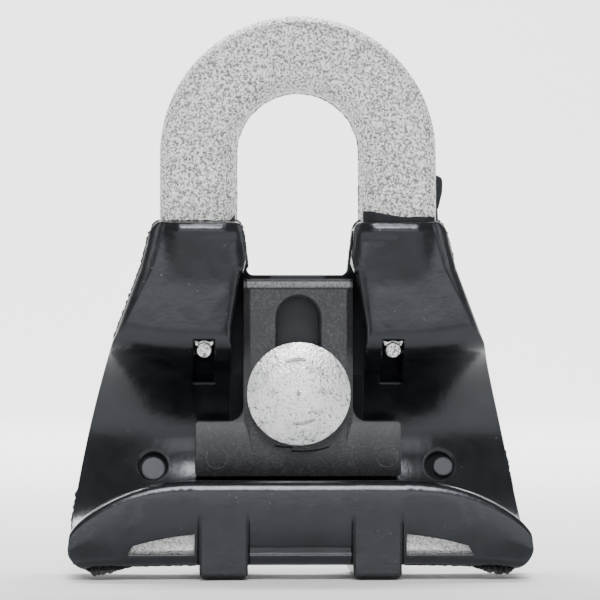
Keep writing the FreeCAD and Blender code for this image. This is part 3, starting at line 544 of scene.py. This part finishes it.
def glass_filled_plastic(sizes, colours, name="glass_filled_plastic", tone=1.0):
    """Dull plastic whose glass fibres show as a pale grain, with a painted highlight along the
    stem's bead.
    """
    made = Finish(name, Specular_Tint=(0.9, 0.94, 1.0, 1.0))
    across, depth, up = made.coordinates()
    fibres = made.noise(0.4 * MM, 3.0, 0.65)
    cloud = made.noise(4 * MM, 3.0)
    # The stem's bead is painted paler and far brighter than the rest of the jaw, a painted
    # highlight.
    bead = up.band(-39.3 * MM, -37.8 * MM, 0.3 * MM)
    pale = (fibres + cloud * 0.25 + bead * 0.12).step(0.56, 0.92)
    rubbed = rub_mask(across, depth, up)
    dark, bright = shade(colours.plastic, 1.2 * tone), shade(colours.plastic, 4.2 * tone)
    grain = made.mix(pale, dark, bright)
    grain_with_painted_highlight = made.mix(bead * (0.25 + pale), grain, shade(colours.plastic, 12.0))
    made.feed("Base Color", made.mix(rubbed * 0.9, grain_with_painted_highlight, shade(colours.plastic, 0.1)))
    made.feed("Roughness", 0.42 + fibres * 0.2 + rubbed * 0.4)
    edges = made.soft_edges(sizes.plastic_edge)
    height = fibres * 0.7 + cloud * 0.4 - rubbed * 2.0
    made.feed("Normal", made.bump(height, 0.1 * MM, edges))
    return made.material


def zinc_plate(sizes, colours, name="zinc_plate", rough=0.3, tone=1.0):
    """Bright zinc plating with a faint orange peel, dull stains and grey flecks."""
    made = Finish(name, Metallic=1.0)
    peel = made.noise(0.7 * MM, 3.0, 0.6)
    stain = made.noise(2.6 * MM, 4.0, 0.65).step(0.5, 0.7)
    flecked = made.noise(3 * MM).step(0.36, 0.56)
    flecks = made.noise(0.5 * MM, 2.0, 0.6).step(0.53, 0.66) * flecked
    # A tone below 1 darkens the plating; the bolt's dashes use this as a painted shade.
    plating, dirt = shade(colours.zinc, tone), shade(colours.zinc, 0.25)
    made.feed("Base Color", made.mix(stain * 0.5 + flecks, plating, dirt))
    made.feed("Roughness", rough + peel * 0.12 + stain * 0.12)
    edges = made.soft_edges(sizes.steel_edge)
    made.feed("Normal", made.bump(peel + stain * 0.4, 0.13 * MM, edges))
    return made.material


# Pieces


def settings():
    scene = bpy.context.scene
    return scene.clamp_sizes, scene.clamp_colours, scene.clamp_studio


def new_object(name, mesh, material):
    mesh.materials.clear()
    mesh.materials.append(material)
    piece = bpy.data.objects.new(name, mesh)
    bpy.context.scene.collection.objects.link(piece)
    return piece


def add_piece(name, shape, body, material, sharp_over=ADDED_SHARP_OVER):
    """Makes a bmesh into a smooth shaded piece that rides on a body."""
    for face in shape.faces:
        face.smooth = True
    for edge in shape.edges:
        corner = len(edge.link_faces) == 2 and edge.calc_face_angle(0.0)
        edge.smooth = corner < math.radians(sharp_over)
    mesh = bpy.data.meshes.new(name)
    shape.to_mesh(mesh)
    shape.free()
    piece = new_object(name, mesh, material)
    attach(piece, body)
    return piece


def merged_copy(node):
    """A CAD node's mesh with its loose triangles joined."""
    shape = bmesh.new()
    shape.from_mesh(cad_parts[node].data)
    bmesh.ops.remove_doubles(shape, verts=shape.verts, dist=WELD)
    return shape


def replace_node(node, name, body, material, shape=None):
    """Makes a smooth shaded piece that stands for a CAD node."""
    shape = shape or merged_copy(node)
    piece = add_piece(name, shape, body, material, SHARP_OVER)
    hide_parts(node)


def threaded_bolt(sizes):
    """The bolt with its shank turned down to the thread's root."""
    shape = merged_copy("carriage_bolt")
    root = (SHANK_RADIUS - sizes.thread_depth) / SHANK_RADIUS
    axis = Vector((0.0, 0.0, BOLT_UP))
    for vert in shape.verts:
        across = Vector((vert.co.x, 0.0, vert.co.z)) - axis
        if vert.co.y > -0.01 * MM and across.length < SHANK_RADIUS * 1.01:
            vert.co.x = axis.x + across.x * root
            vert.co.z = axis.z + across.z * root
    return shape


def thread(sizes):
    """One long helical ridge, flat on its crest and sunk a little into the shank."""
    shape = bmesh.new()
    start, end = THREAD_START * MM, BOLT_HIGH.y - THREAD_RUNOUT * MM
    turns = (end - start) / sizes.thread_pitch
    steps = int(turns * sizes.thread_steps)
    foot = SHANK_RADIUS - sizes.thread_depth - FOOT_SINK * MM
    crest = SHANK_RADIUS - CREST_SINK * MM
    foot_half = sizes.thread_pitch / 2 * FOOT_WIDTH
    crest_half = sizes.thread_pitch / 2 * CREST_WIDTH
    section = [
        shape.verts.new((across, start + along, BOLT_UP))
        for across, along in (
            (foot, -foot_half),
            (crest, -crest_half),
            (crest, crest_half),
            (foot, foot_half),
        )
    ]
    face = shape.faces.new(section)
    bmesh.ops.spin(
        shape,
        geom=[face],
        cent=(0.0, 0.0, BOLT_UP),
        axis=(0.0, 1.0, 0.0),
        dvec=(0.0, (end - start) / steps, 0.0),
        angle=math.tau * turns,
        steps=steps,
        use_merge=False,
        use_duplicate=False,
    )
    bmesh.ops.recalc_face_normals(shape, faces=shape.faces)
    return shape


def ease(value, low, high):
    """0 below low, 1 above high and a smooth rise between them."""
    share = max(0.0, min(1.0, (value - low) / (high - low)))
    return share * share * (3.0 - 2.0 * share)


def ramp(value, low, high):
    """0 below low, 1 above high and a straight rise between them."""
    return max(0.0, min(1.0, (value - low) / (high - low)))


def slab(steps, place, depth):
    """A strip given by its two long edges, in millimetres, pushed along a depth."""
    shape = bmesh.new()
    bmesh.ops.create_grid(shape, x_segments=steps, y_segments=1, size=0.5)
    for vert in shape.verts:
        vert.co = Vector(place(vert.co.x + 0.5, vert.co.y + 0.5)) * MM
    grown = bmesh.ops.extrude_face_region(shape, geom=shape.faces[:])["geom"]
    moved = [item for item in grown if isinstance(item, bmesh.types.BMVert)]
    bmesh.ops.translate(shape, verts=moved, vec=Vector(depth) * MM)
    bmesh.ops.recalc_face_normals(shape, faces=shape.faces)
    return shape


def wander(place, seed, octaves=4, row=0.0):
    """Smooth random wandering along a line, between about -1 and 1."""
    return noise.fractal(Vector((place, seed, row)), 1.0, 2.0, octaves)


def fin(steps, path, outwards, height, thickness, seed, raggedness=0.8):
    """A ragged fin of flash that stands out of a line, both given by how far along it is."""
    usual, least, pace = 0.7, 0.1, 0.37

    def place(along, side):
        ends = min(1.0, along * steps / 2, (1.0 - along) * steps / 2)
        ragged = usual + raggedness * wander(along * steps * pace, seed)
        rise = height * max(least, ragged) * ends
        reach = FIN_ROOT + side * (rise - FIN_ROOT)
        return Vector(path(along)) + Vector(outwards(along)) * reach

    return slab(steps, place, (0.0, thickness, 0.0))


def bell_edge(up):
    """How far from the middle the clamp's outline runs at a height."""
    for (near, top), (far, foot) in zip(BELL, BELL[1:]):
        if up >= foot:
            break
    share = (top - up) / (top - foot)
    bulge = BELL_BULGE * 4 * share * (1 - share) if foot == BELL[-1][1] else 0.0
    return near + (far - near) * share + bulge


def leg_front(across):
    """How far ahead the front of a leg lies, at a distance from the clamp's middle."""
    inner = max(0.0, EYE_RADIUS + LEG_INNER_ROUND - across)
    outer = max(0.0, across - LEG_OUTSIDE + LEG_OUTER_ROUND)
    if inner:
        return LEG_INNER_ROUND - LEG_HALF - math.sqrt(LEG_INNER_ROUND**2 - inner**2)
    return LEG_OUTER_ROUND - LEG_HALF - math.sqrt(LEG_OUTER_ROUND**2 - outer**2)


# Reshaping of the coat's copy, where the moulding is rounder than its solid


def cut(shape, picks, way, places):
    """Cuts the faces that a test on their corners picks, along planes square to a direction."""
    way = Vector(way)
    for place in places:
        faces = [face for face in shape.faces if any(picks(vert.co / MM) for vert in face.verts)]
        edges = list(dict.fromkeys(edge for face in faces for edge in face.edges))
        verts = list(dict.fromkeys(vert for edge in edges for vert in edge.verts))
        bmesh.ops.bisect_plane(
            shape,
            geom=verts + edges + faces,
            dist=WELD,
            plane_co=way * place * MM,
            plane_no=way,
        )


def move(shape, rule):
    """Moves every vertex by a rule on its place in millimetres, drawn for the right half."""
    for vert in shape.verts:
        side = -1.0 if vert.co.x < 0.0 else 1.0
        across, depth, up = vert.co / MM
        across, depth, up = rule(side * across, depth, up)
        vert.co = Vector((side * across, depth, up)) * MM


def throat_rule(sizes):
    """Closes the notch over the pocket and tightens the throat's lower corners."""
    slack = 0.1
    new_round = sizes.throat_corner / MM
    loss = THROAT_ROUND - new_round
    from_x = THROAT_FOOT_HALF - THROAT_ROUND
    from_z = THROAT_FLOOR + THROAT_ROUND

    def rule(across, depth, up):
        flare = FLARE * ramp(-depth, -BOOT_FRONT - FLARE, -BOOT_FRONT) ** 2
        on_floor = abs(up - POCKET_TOP - flare) < 0.08 and NOTCH_NEAR < across < NOTCH_FAR
        ahead = depth < POCKET_FLOOR - slack
        beside = across > NOTCH_SIDE and depth < POCKET_FLOOR + slack
        if on_floor and (ahead or beside):
            across = max(across, STEM_ROOM)
            up += THROAT_FLOOR - POCKET_TOP + slack
        reach = math.hypot(across - from_x, up - from_z)
        lower = across > from_x - 0.01 and up < from_z + 0.01 and depth > POCKET_FLOOR - slack
        if lower and abs(reach - THROAT_ROUND) < 0.05:
            across = from_x + loss + (across - from_x) / reach * new_round
            up = from_z - loss + (up - from_z) / reach * new_round
        return across, depth, up

    return rule


def boot_top_rule(across, depth, up):
    """Draws the bevel over the boots up to their top edge."""
    drop = BOOT_TOP - up
    if depth < BEVEL_BACK and 0.0 < drop < TOP_DROP:
        if drop < BEVEL_DROP:
            new_drop = TOP_SHARE * drop
        else:
            start = TOP_SHARE * BEVEL_DROP
            new_drop = start + (drop - BEVEL_DROP) * (TOP_DROP - start) / (TOP_DROP - BEVEL_DROP)
        up = BOOT_TOP - new_drop
    return across, depth, up


def boot_swell_rule(sizes):
    """Bulges the boots' front, so that it slopes under the top edge and leans back below."""
    swell = sizes.boot_swell / MM

    def rule(across, depth, up):
        front = ramp(-depth, -BOOT_FRONT - BEVEL_DEPTH, -BOOT_FRONT)
        drop = BOOT_TOP - up
        rise = STEEP_SHARE * ramp(drop, *STEEP_DROPS) + SOFT_SHARE * ramp(drop, *SOFT_DROPS)
        below = max(0.0, drop - SOFT_DROPS[1])
        if below < FADE_BEND:
            rise *= 1.0 - FADE * below
        else:
            rise *= END_FADE * max(0.0, FADE_END - below) ** 2
        middle = ease(across, *SWELL_INNER) * (1.0 - ease(across, *SWELL_OUTER))
        return across, depth - swell * front * rise * middle, up

    return rule


def corner_rule(corner, radius, way):
    """Rounds an upper corner of the boots. way is 1 for the outer and -1 for the inner one."""

    def rule(across, depth, up):
        x = way * (across - corner) / radius + 1.0
        z = (up - BOOT_TOP) / radius + 1.0
        if x > 0.0 and z > 0.0:
            new_x = x * math.sqrt(1.0 - min(z, 1.0) ** 2 / 2)
            z *= math.sqrt(1.0 - min(x, 1.0) ** 2 / 2)
            across = corner + way * (new_x - 1.0) * radius
            up = BOOT_TOP + (z - 1.0) * radius
        return across, depth, up

    return rule


def window_rule(sizes):
    """Leans the locating windows' outer walls inwards."""
    slope = sizes.window_slope / MM

    def surface(up):
        """How deep the ceiling or the channel's wall lies round a window."""
        if up > CEILING_FOOT:
            return CEILING_DEPTH - math.sqrt(CEILING_RADIUS**2 - (up - CEILING_UP) ** 2)
        return CHANNEL_DEPTH + math.sqrt(CHANNEL_RADIUS**2 - (up - CHANNEL_UP) ** 2)

    def rule(across, depth, up):
        on_wall = abs(across - WINDOW_EDGE) < 0.06 and WINDOW_FOOT < up < WINDOW_TOP
        if on_wall and depth > surface(up) + 0.8:
            across -= slope * ease(-up, *LEAN_START) * (1.0 - LEAN_LOSS * ramp(-up, *LEAN_END))
        return across, depth, up

    return rule


def lip_rule(across, depth, up):
    """Tightens the lip's outer top edge and lets its top line fall late and steeply."""
    along = ramp(across, STRAIGHT_HALF, STRAIGHT_HALF + MOUTH_LENGTH)
    share = along**2
    top = LIP_TOP - LIP_DROOP * share
    turn = LIP_TURN - TURN_DROOP * share
    soft = LIP_ROUND * (1.0 - share / 2)
    from_y, from_z = LIP_FACE - LIP_SPREAD * share + soft, top - soft
    reach = math.hypot(depth - from_y, up - from_z)
    if depth < from_y + 0.02 and up > from_z - 0.02 and abs(reach - soft) < 0.15:
        loss = LIP_TIGHTER * soft
        above = (up - from_z) / reach > LIP_SLOPE
        depth = from_y - loss + (depth - from_y) / reach * (soft - loss)
        up = from_z + loss + (up - from_z) / reach * (soft - loss)
        if above:
            depth += LIP_BACK * (1.0 - along)
        else:
            up -= LIP_DOWN * (1.0 - along)
    late = EARLY_SHARE * along**EARLY_POWER + LATE_SHARE * along**LATE_POWER
    weight = ramp(up, turn, top) * ramp(-depth, 9.5, 11.0)
    return across, depth, up + LIP_DROOP * (share - late) * weight


def moulded_coat(sizes):
    """The coat with its rounder boots, throat, windows and lip."""
    shape = merged_copy("rubber_coat")
    corner = sizes.boot_corner / MM
    outer, inner = BELL[0][0], THROAT_TOP_HALF
    move(shape, throat_rule(sizes))
    move(shape, boot_top_rule)

    def near_top(place):
        return place.z > -28.6

    def boot_fronts(place):
        return place.z > -41.0 and place.y < BEVEL_BACK

    def lip_ends(place):
        return place.z < -75.0 and place.y < -9.0 and abs(place.x) > 39.0

    def on_both_sides(places):
        return [side * place for place in places for side in (-1, 1)]

    up, sideways = (0.0, 0.0, 1.0), (1.0, 0.0, 0.0)
    rows = [BOOT_TOP - drop for drop in (0.42, 0.8, 1.25, 1.7, 2.3, 3.0)]
    cut(shape, boot_fronts, up, rows + list(range(-40, -28)))
    cut(shape, near_top, up, [BOOT_TOP - corner * part for part in (0.15, 0.4, 0.7)])
    columns = [
        edge + corner * part
        for edge in (inner, outer - corner)
        for part in (0.0, 0.3, 0.6, 0.85, 1.0)
    ]
    columns += [12.2, 13.5, 14.2, 15.0, 16.0, 23.3, 24.2, 25.0, 25.8, 26.6]
    cut(shape, near_top, sideways, on_both_sides(columns))
    ends = (40.0, 42.0, 43.0, 43.8, 44.4, 44.9, 45.3, 45.6, 45.85)
    cut(shape, lip_ends, sideways, on_both_sides(ends))
    move(shape, boot_swell_rule(sizes))
    move(shape, corner_rule(outer, corner, 1.0))
    move(shape, corner_rule(inner, corner, -1.0))
    move(shape, window_rule(sizes))
    move(shape, lip_rule)
    return shape


# Flash, seams and small raised marks


def edge_fin(sizes, side, low, high, depth, seed, steps):
    """Flash along one side of the bell, between two heights."""

    def path(along):
        up = high + (low - high) * along
        return side * bell_edge(up), depth, up

    height, thickness = sizes.fin_height / MM, sizes.fin_thickness / MM
    return fin(steps, path, lambda along: (side, 0.0, 0.0), height, thickness, seed)


def corner_fin(sizes, side, way, seed):
    """Flash over one of a boot's upper corners. way is 1 for the outer and -1 for the inner."""
    radius = sizes.boot_corner / MM
    edge = BELL[0][0] if way > 0 else THROAT_TOP_HALF

    def outwards(along):
        angle = math.radians(82.0 * (1.0 - along))
        return side * way * math.cos(angle), 0.0, math.sin(angle)

    def path(along):
        centre = Vector((side * (edge - way * radius), PARTING_DEPTH, BOOT_TOP - radius))
        return centre + Vector(outwards(along)) * radius

    height, thickness = sizes.fin_height * 1.3 / MM, sizes.fin_thickness / MM
    return fin(16, path, outwards, height, thickness, seed, 0.4)


def throat_fin(sizes, side, seed):
    """Flash along one wall of the throat, from the boot's corner to the throat's floor."""

    def path(along):
        top = BOOT_TOP - sizes.boot_corner / MM
        up = top + (THROAT_FLOOR + 1.2 - top) * along
        share = ramp(-up, -BOOT_TOP, -THROAT_BEND)
        half = THROAT_TOP_HALF + (THROAT_FOOT_HALF - THROAT_TOP_HALF) * share
        return side * half, PARTING_DEPTH, up

    height, thickness = sizes.fin_height * 0.8 / MM, sizes.fin_thickness / MM
    return fin(46, path, lambda along: (-side, 0.0, 0.0), height, thickness, seed, 0.6)


def nose_fin(sizes, side, seed):
    """Flash round the lower corner of a mouth."""
    centre = Vector((side * (BELL[-1][0] - NOSE_ROUND), -11.0, BELL[-1][1]))

    def outwards(along):
        angle = -math.pi / 2 * (0.12 + 0.8 * along)
        return side * math.cos(angle), 0.0, math.sin(angle)

    def path(along):
        return centre + Vector(outwards(along)) * NOSE_ROUND

    height, thickness = sizes.fin_height / MM, sizes.fin_thickness / MM
    return fin(30, path, outwards, height, thickness, seed)


def torn_flash(side, seed):
    """The torn sheet of rubber that hangs under a mouth's lower edge."""
    first, last, front = 20.6, 43.0, -15.6

    def place(along, edge):
        across = first + (last - first) * along
        share = ramp(across, STRAIGHT_HALF, STRAIGHT_HALF + MOUTH_LENGTH) ** 2
        root = LIP_FOOT - 0.8 * share
        hang = 0.35 + 1.35 * ease(across, 33.0, 39.0)
        hang *= max(0.4, 0.9 + 0.4 * wander(across * 0.9, seed, 5))
        hang *= min(1.0, (1.0 - along) * 12)
        ripple = 0.8 * wander(across * 2.1, seed, row=3.0)
        return side * across, front + ripple - 0.8 * hang * edge, root - edge * hang

    return slab(90, place, (0.0, 0.35, 0.0))


def leg_tab():
    """The black tab of rubber behind the outside of the right leg."""
    top, height, front = -16.5, 9.6, 2.0
    outline = (
        (0.0, 28.3),
        (0.05, 29.1),
        (0.12, 29.35),
        (0.35, 29.3),
        (0.66, 28.6),
        (0.72, 28.35),
        (1.0, 28.5),
    )

    def place(along, edge):
        for (before, near), (after, far) in zip(outline, outline[1:]):
            if along <= after:
                break
        reach = near + (far - near) * (along - before) / (after - before)
        root = LEG_OUTSIDE - 0.2 if along < 0.7 else reach - 0.45
        return root + (reach - root) * edge, front + 0.2 * edge, top - height * along

    return slab(40, place, (0.0, 0.9, 0.0))


def leg_smear(first, last, low, high, spread, seed):
    """A thin film of rubber that ran up a leg, between two heights and distances."""

    def place(along, edge):
        across = first + (last - first) * along
        up = high + (low - high) * ease(along, 0.0, spread) + 0.2 * wander(along * 9.0, seed)
        root = BOOT_TOP - 0.6
        return across, leg_front(abs(across)) + 0.05, root + (up - root) * edge

    return slab(90, place, (0.0, -0.3, 0.0))


def eye_seam(sizes):
    """The seam of the casting, all along the inside of the eye."""
    leg = -BOOT_TOP - EYE_RADIUS + 0.4
    height, width = sizes.seam_height / MM, sizes.seam_width / MM
    arch = math.pi * EYE_RADIUS
    total = 2 * leg + arch

    def place(along, side):
        way = along * total - leg
        angle = math.pi - max(0.0, min(math.pi, way / EYE_RADIUS))
        below = max(0.0, -way, way - arch)
        stray = wander(way * 0.55, 4.0)
        reach = EYE_RADIUS - side * height * max(0.2, 0.9 + 0.7 * stray) + (1 - side) * 0.4
        return (
            reach * math.cos(angle),
            -width / 2 + 0.15 * stray,
            reach * math.sin(angle) - EYE_RADIUS - below,
        )

    return slab(170, place, (0.0, width, 0.0))


def pin_collar(side):
    """The bare collar over a locating pin, with an ear in each upper corner of the window."""
    start, sweep_angle, inner, rim = 32.0, 116.0, 1.62, 0.33
    ear_angle, ear_half, ear_reach = 45.0, 12.0, 0.8

    def place(along, edge):
        degrees = start + sweep_angle * along
        ear = max(0.0, 1.0 - abs(abs(degrees - 90.0) - ear_angle) / ear_half)
        reach = inner + edge * (rim + ear_reach * ear)
        angle = math.radians(degrees)
        across = side * PIN_ACROSS + reach * math.cos(angle)
        return across, -4.6, PIN_UP + reach * math.sin(angle)

    return slab(48, place, (0.0, -2.2, 0.0))


def head_dash(sizes, radius, start, end, width):
    """A short raised arc on the bolt's head."""

    def place(along, side):
        angle = math.radians(start + (end - start) * along)
        reach = radius + (side - 0.5) * width
        sag = HEAD_DOME - math.sqrt(HEAD_DOME**2 - reach**2)
        return reach * math.cos(angle), HEAD_FRONT + sag + 0.1, BOLT_AXIS + reach * math.sin(angle)

    return slab(14, place, (0.0, -sizes.dash_height / MM - 0.1, 0.0))


def ejector_ring(across, up, start, end):
    """The faint ring that an ejector pin left on the jaw's bar."""

    def place(along, side):
        angle = math.radians(start + (end - start) * along)
        reach = RING_RADIUS + (side - 0.5) * 0.16
        height = up + reach * math.sin(angle)
        front = BAR_AXIS_DEPTH - math.sqrt(BAR_RADIUS**2 - (height - BAR_AXIS_UP) ** 2)
        return across + reach * math.cos(angle), front + 0.04, height

    return slab(40, place, (0.0, -0.1, 0.0))


def sweep():
    """A white floor that curves up into a wall behind the clamp, in metres."""
    half_width, back, bend_radius, floor_length, wall_height = 4.0, 1.3, 0.6, 5.0, 3.0
    shape = bmesh.new()
    ends = [shape.verts.new((side, back, 0.0)) for side in (-half_width, half_width)]
    edge = shape.edges.new(ends)
    bend = bmesh.ops.spin(
        shape,
        geom=[*ends, edge],
        cent=(0.0, back, bend_radius),
        axis=(1.0, 0.0, 0.0),
        angle=math.pi / 2,
        steps=24,
        use_merge=False,
        use_duplicate=False,
    )
    ahead, upwards = (0.0, -floor_length, 0.0), (0.0, 0.0, wall_height)
    for edges, way in (([edge], ahead), (bend["geom_last"], upwards)):
        edges = [item for item in edges if isinstance(item, bmesh.types.BMEdge)]
        new = bmesh.ops.extrude_edge_only(shape, edges=edges)["geom"]
        moved = [item for item in new if isinstance(item, bmesh.types.BMVert)]
        bmesh.ops.translate(shape, verts=moved, vec=way)
    bmesh.ops.recalc_face_normals(shape, faces=shape.faces)
    for face in shape.faces:
        face.smooth = True
    return shape


class PieceOperator(bpy.types.Operator):
    """What all the clamp's operators share."""

    bl_options = {"REGISTER", "UNDO"}


class CLAMP_OT_cast_core(PieceOperator):
    """Gives the casting its blasted surface"""

    bl_idname = "clamp.cast_core"
    bl_label = "Casting"

    def execute(self, context):
        sizes, colours, _ = settings()
        metal = cast_metal(sizes, colours)
        replace_node("shackle_core", "blasted_core", "frame", metal)
        add_piece("eye_seam", eye_seam(sizes), "frame", metal)
        add_piece("pin_collar_left", pin_collar(-1), "frame", metal)
        add_piece("pin_collar_right", pin_collar(1), "frame", metal)
        return {"FINISHED"}


class CLAMP_OT_mould_coat(PieceOperator):
    """Gives the rubber coat its moulded surface"""

    bl_idname = "clamp.mould_coat"
    bl_label = "Rubber coat"

    def execute(self, context):
        sizes, colours, _ = settings()
        rubber = black_rubber(sizes, colours)
        shape = moulded_coat(sizes)
        replace_node("rubber_coat", "moulded_coat", "frame", rubber, shape)
        return {"FINISHED"}


class CLAMP_OT_leave_flash(PieceOperator):
    """Leaves the mould's flash along the rubber's edges"""

    bl_idname = "clamp.leave_flash"
    bl_label = "Flash"

    def execute(self, context):
        sizes, colours, _ = settings()
        shiny = bpy.data.materials["black_rubber"]
        matt = black_rubber(sizes, colours, "torn_rubber", 0.5)
        low = BOOT_TOP - sizes.boot_corner / MM
        for name, finish, shape in (
            ("edge_fin_left", matt, edge_fin(sizes, -1, -49.5, low, PARTING_DEPTH, 1.0, 84)),
            ("edge_fin_right", matt, edge_fin(sizes, 1, -34.0, low, PARTING_DEPTH, 12.0, 24)),
            ("edge_fin_lower_left", matt, edge_fin(sizes, -1, -88.0, -80.0, 12.5, 2.0, 26)),
            ("edge_fin_lower_right", matt, edge_fin(sizes, 1, -81.0, -72.0, 14.5, 3.0, 30)),
            ("corner_fin_left", matt, corner_fin(sizes, -1, 1, 13.0)),
            ("corner_fin_right", matt, corner_fin(sizes, 1, 1, 14.0)),
            ("throat_corner_fin_left", matt, corner_fin(sizes, -1, -1, 15.0)),
            ("throat_corner_fin_right", matt, corner_fin(sizes, 1, -1, 16.0)),
            ("throat_fin_left", matt, throat_fin(sizes, -1, 4.0)),
            ("throat_fin_right", matt, throat_fin(sizes, 1, 5.0)),
            ("nose_fin_left", matt, nose_fin(sizes, -1, 6.0)),
            ("nose_fin_right", matt, nose_fin(sizes, 1, 7.0)),
            ("torn_flash_left", shiny, torn_flash(-1, 8.0)),
            ("torn_flash_right", shiny, torn_flash(1, 9.0)),
            ("leg_tab", matt, leg_tab()),
            ("leg_smear_right", matt, leg_smear(13.0, 27.4, -25.0, -23.8, 0.6, 10.0)),
            ("leg_smear_left", matt, leg_smear(-12.6, -27.4, -25.7, -24.6, 0.09, 11.0)),
        ):
            add_piece(name, shape, "frame", finish)
        return {"FINISHED"}


class CLAMP_OT_mould_jaw(PieceOperator):
    """Gives the jaw its grained plastic"""

    bl_idname = "clamp.mould_jaw"
    bl_label = "Pressure jaw"

    def execute(self, context):
        sizes, colours, _ = settings()
        plastic = glass_filled_plastic(sizes, colours)
        replace_node("pressure_jaw", "moulded_jaw", "jaw", plastic)
        pale = glass_filled_plastic(sizes, colours, "pale_plastic", 3.5)
        for name, ring in (
            ("left_ring", ejector_ring(-16.35, -73.3, 150.0, 420.0)),
            ("right_ring", ejector_ring(17.8, -73.0, 190.0, 450.0)),
        ):
            add_piece(name, ring, "jaw", pale)
        return {"FINISHED"}


class CLAMP_OT_plate_fasteners(PieceOperator):
    """Plates the fasteners and cuts the bolt's thread"""

    bl_idname = "clamp.plate_fasteners"
    bl_label = "Fasteners"

    def execute(self, context):
        sizes, colours, _ = settings()
        bright = zinc_plate(sizes, colours)
        dull = zinc_plate(sizes, colours, "dull_zinc_plate", 0.42)
        # The dashes get the same zinc at half brightness, a painted shade for their shaded sides.
        shaded_dash_zinc = zinc_plate(sizes, colours, "painted_shade_zinc_plate", 0.36, 0.5)
        bolt = threaded_bolt(sizes)
        replace_node("carriage_bolt", "plated_bolt", "bolt", bright, bolt)
        add_piece("bolt_thread", thread(sizes), "bolt", dull)
        for name, dash in (
            ("upper_dash", head_dash(sizes, 7.0, 112.0, 78.0, 0.45)),
            ("lower_dash", head_dash(sizes, 5.9, -102.0, -58.0, 0.6)),
        ):
            add_piece(name, dash, "bolt", shaded_dash_zinc)
        for node, body in (
            ("hex_nut", "nut"),
            ("flat_washer", "frame"),
            ("spring_washer", "frame"),
        ):
            replace_node(node, f"plated_{node}", body, dull)
        return {"FINISHED"}


class CLAMP_OT_lay_stage(PieceOperator):
    """Lays the floor, hangs the lights and sets up the camera"""

    bl_idname = "clamp.lay_stage"
    bl_label = "Studio"

    def execute(self, context):
        _, _, studio = settings()
        white = Finish("studio_white", Base_Color=(0.9, 0.9, 0.9, 1.0), Roughness=0.9)
        mesh = bpy.data.meshes.new("studio_sweep")
        shape = sweep()
        shape.to_mesh(mesh)
        shape.free()
        floor = new_object("studio_sweep", mesh, white.material)
        floor.location.z = CAD_BOX[0][2]
        target = Vector((0.48, 0.0, -41.65)) * MM
        middle = (0.0, 0.0, 0.0)
        key, front, side = studio.key_light, studio.front_light, studio.side_light
        for name, offset, aim, size, spread, watts in (
            ("key_light", (0.0, -0.8, 0.72), middle, (0.42, 0.34), 36, key),
            ("front_light", (0.0, -1.3, 0.15), (0.0, 0.0, 0.15), (1.1, 0.53), 180, front),
            ("left_light", (-0.95, -0.2, 0.1), middle, (0.3, 0.7), 60, side),
            ("right_light", (0.95, -0.2, 0.1), middle, (0.3, 0.7), 60, side),
            ("sweep_light", (0.0, 0.7, 1.0), (0.0, 1.2, 0.1), (1.4, 0.3), 180, studio.sweep_light),
        ):
            lamp = bpy.data.lights.new(name, "AREA")
            lamp.energy = watts
            lamp.shape = "RECTANGLE"
            lamp.size, lamp.size_y = size
            lamp.spread = math.radians(spread)
            holder = bpy.data.objects.new(name, lamp)
            holder.location = target + Vector(offset)
            way = Vector(offset) - Vector(aim)
            holder.rotation_euler = way.to_track_quat("Z", "Y").to_euler()
            context.scene.collection.objects.link(holder)
        sky = bpy.data.worlds.new("studio_sky")
        sky.use_nodes = True
        sky.node_tree.nodes["Background"].inputs["Color"].default_value = (1.0, 1.0, 1.0, 1.0)
        sky.node_tree.nodes["Background"].inputs["Strength"].default_value = studio.sky
        context.scene.world = sky
        lens = bpy.data.cameras.new("studio_camera")
        lens.lens = lens.sensor_width * studio.distance / studio.view_width
        camera = bpy.data.objects.new("studio_camera", lens)
        turn = Euler((math.pi / 2, 0.0, -studio.turn))
        camera.rotation_euler = turn
        camera.location = target + turn.to_matrix() @ Vector((0.0, 0.0, studio.distance))
        context.scene.collection.objects.link(camera)
        context.scene.camera = camera
        return {"FINISHED"}


class CLAMP_PT_panel(bpy.types.Panel):
    """Lists the clamp's sizes, colours and pieces"""

    bl_idname = "CLAMP_PT_panel"
    bl_label = "Suspension clamp"
    bl_space_type = "VIEW_3D"
    bl_region_type = "UI"
    bl_category = "Clamp"

    def draw(self, context):
        for group in settings():
            box = self.layout.box()
            for name in group.__annotations__:
                box.prop(group, name)
        for step in STEPS:
            self.layout.operator(step.bl_idname)


GROUPS = {
    "clamp_sizes": ClampSizes,
    "clamp_colours": ClampColours,
    "clamp_studio": ClampStudio,
}
STEPS = (
    CLAMP_OT_lay_stage,
    CLAMP_OT_cast_core,
    CLAMP_OT_mould_coat,
    CLAMP_OT_leave_flash,
    CLAMP_OT_mould_jaw,
    CLAMP_OT_plate_fasteners,
)
CLASSES = (*GROUPS.values(), *STEPS, CLAMP_PT_panel)


def register():
    for item in CLASSES:
        bpy.utils.register_class(item)
    for name, group in GROUPS.items():
        setattr(bpy.types.Scene, name, PointerProperty(type=group))


def unregister():
    for name in GROUPS:
        delattr(bpy.types.Scene, name)
    for item in reversed(CLASSES):
        bpy.utils.unregister_class(item)


def main():
    register()
    bpy.ops.clamp.lay_stage()
    bpy.ops.clamp.cast_core()
    bpy.ops.clamp.mould_coat()
    bpy.ops.clamp.leave_flash()
    bpy.ops.clamp.mould_jaw()
    bpy.ops.clamp.plate_fasteners()


if __name__ == "__main__":
    main()
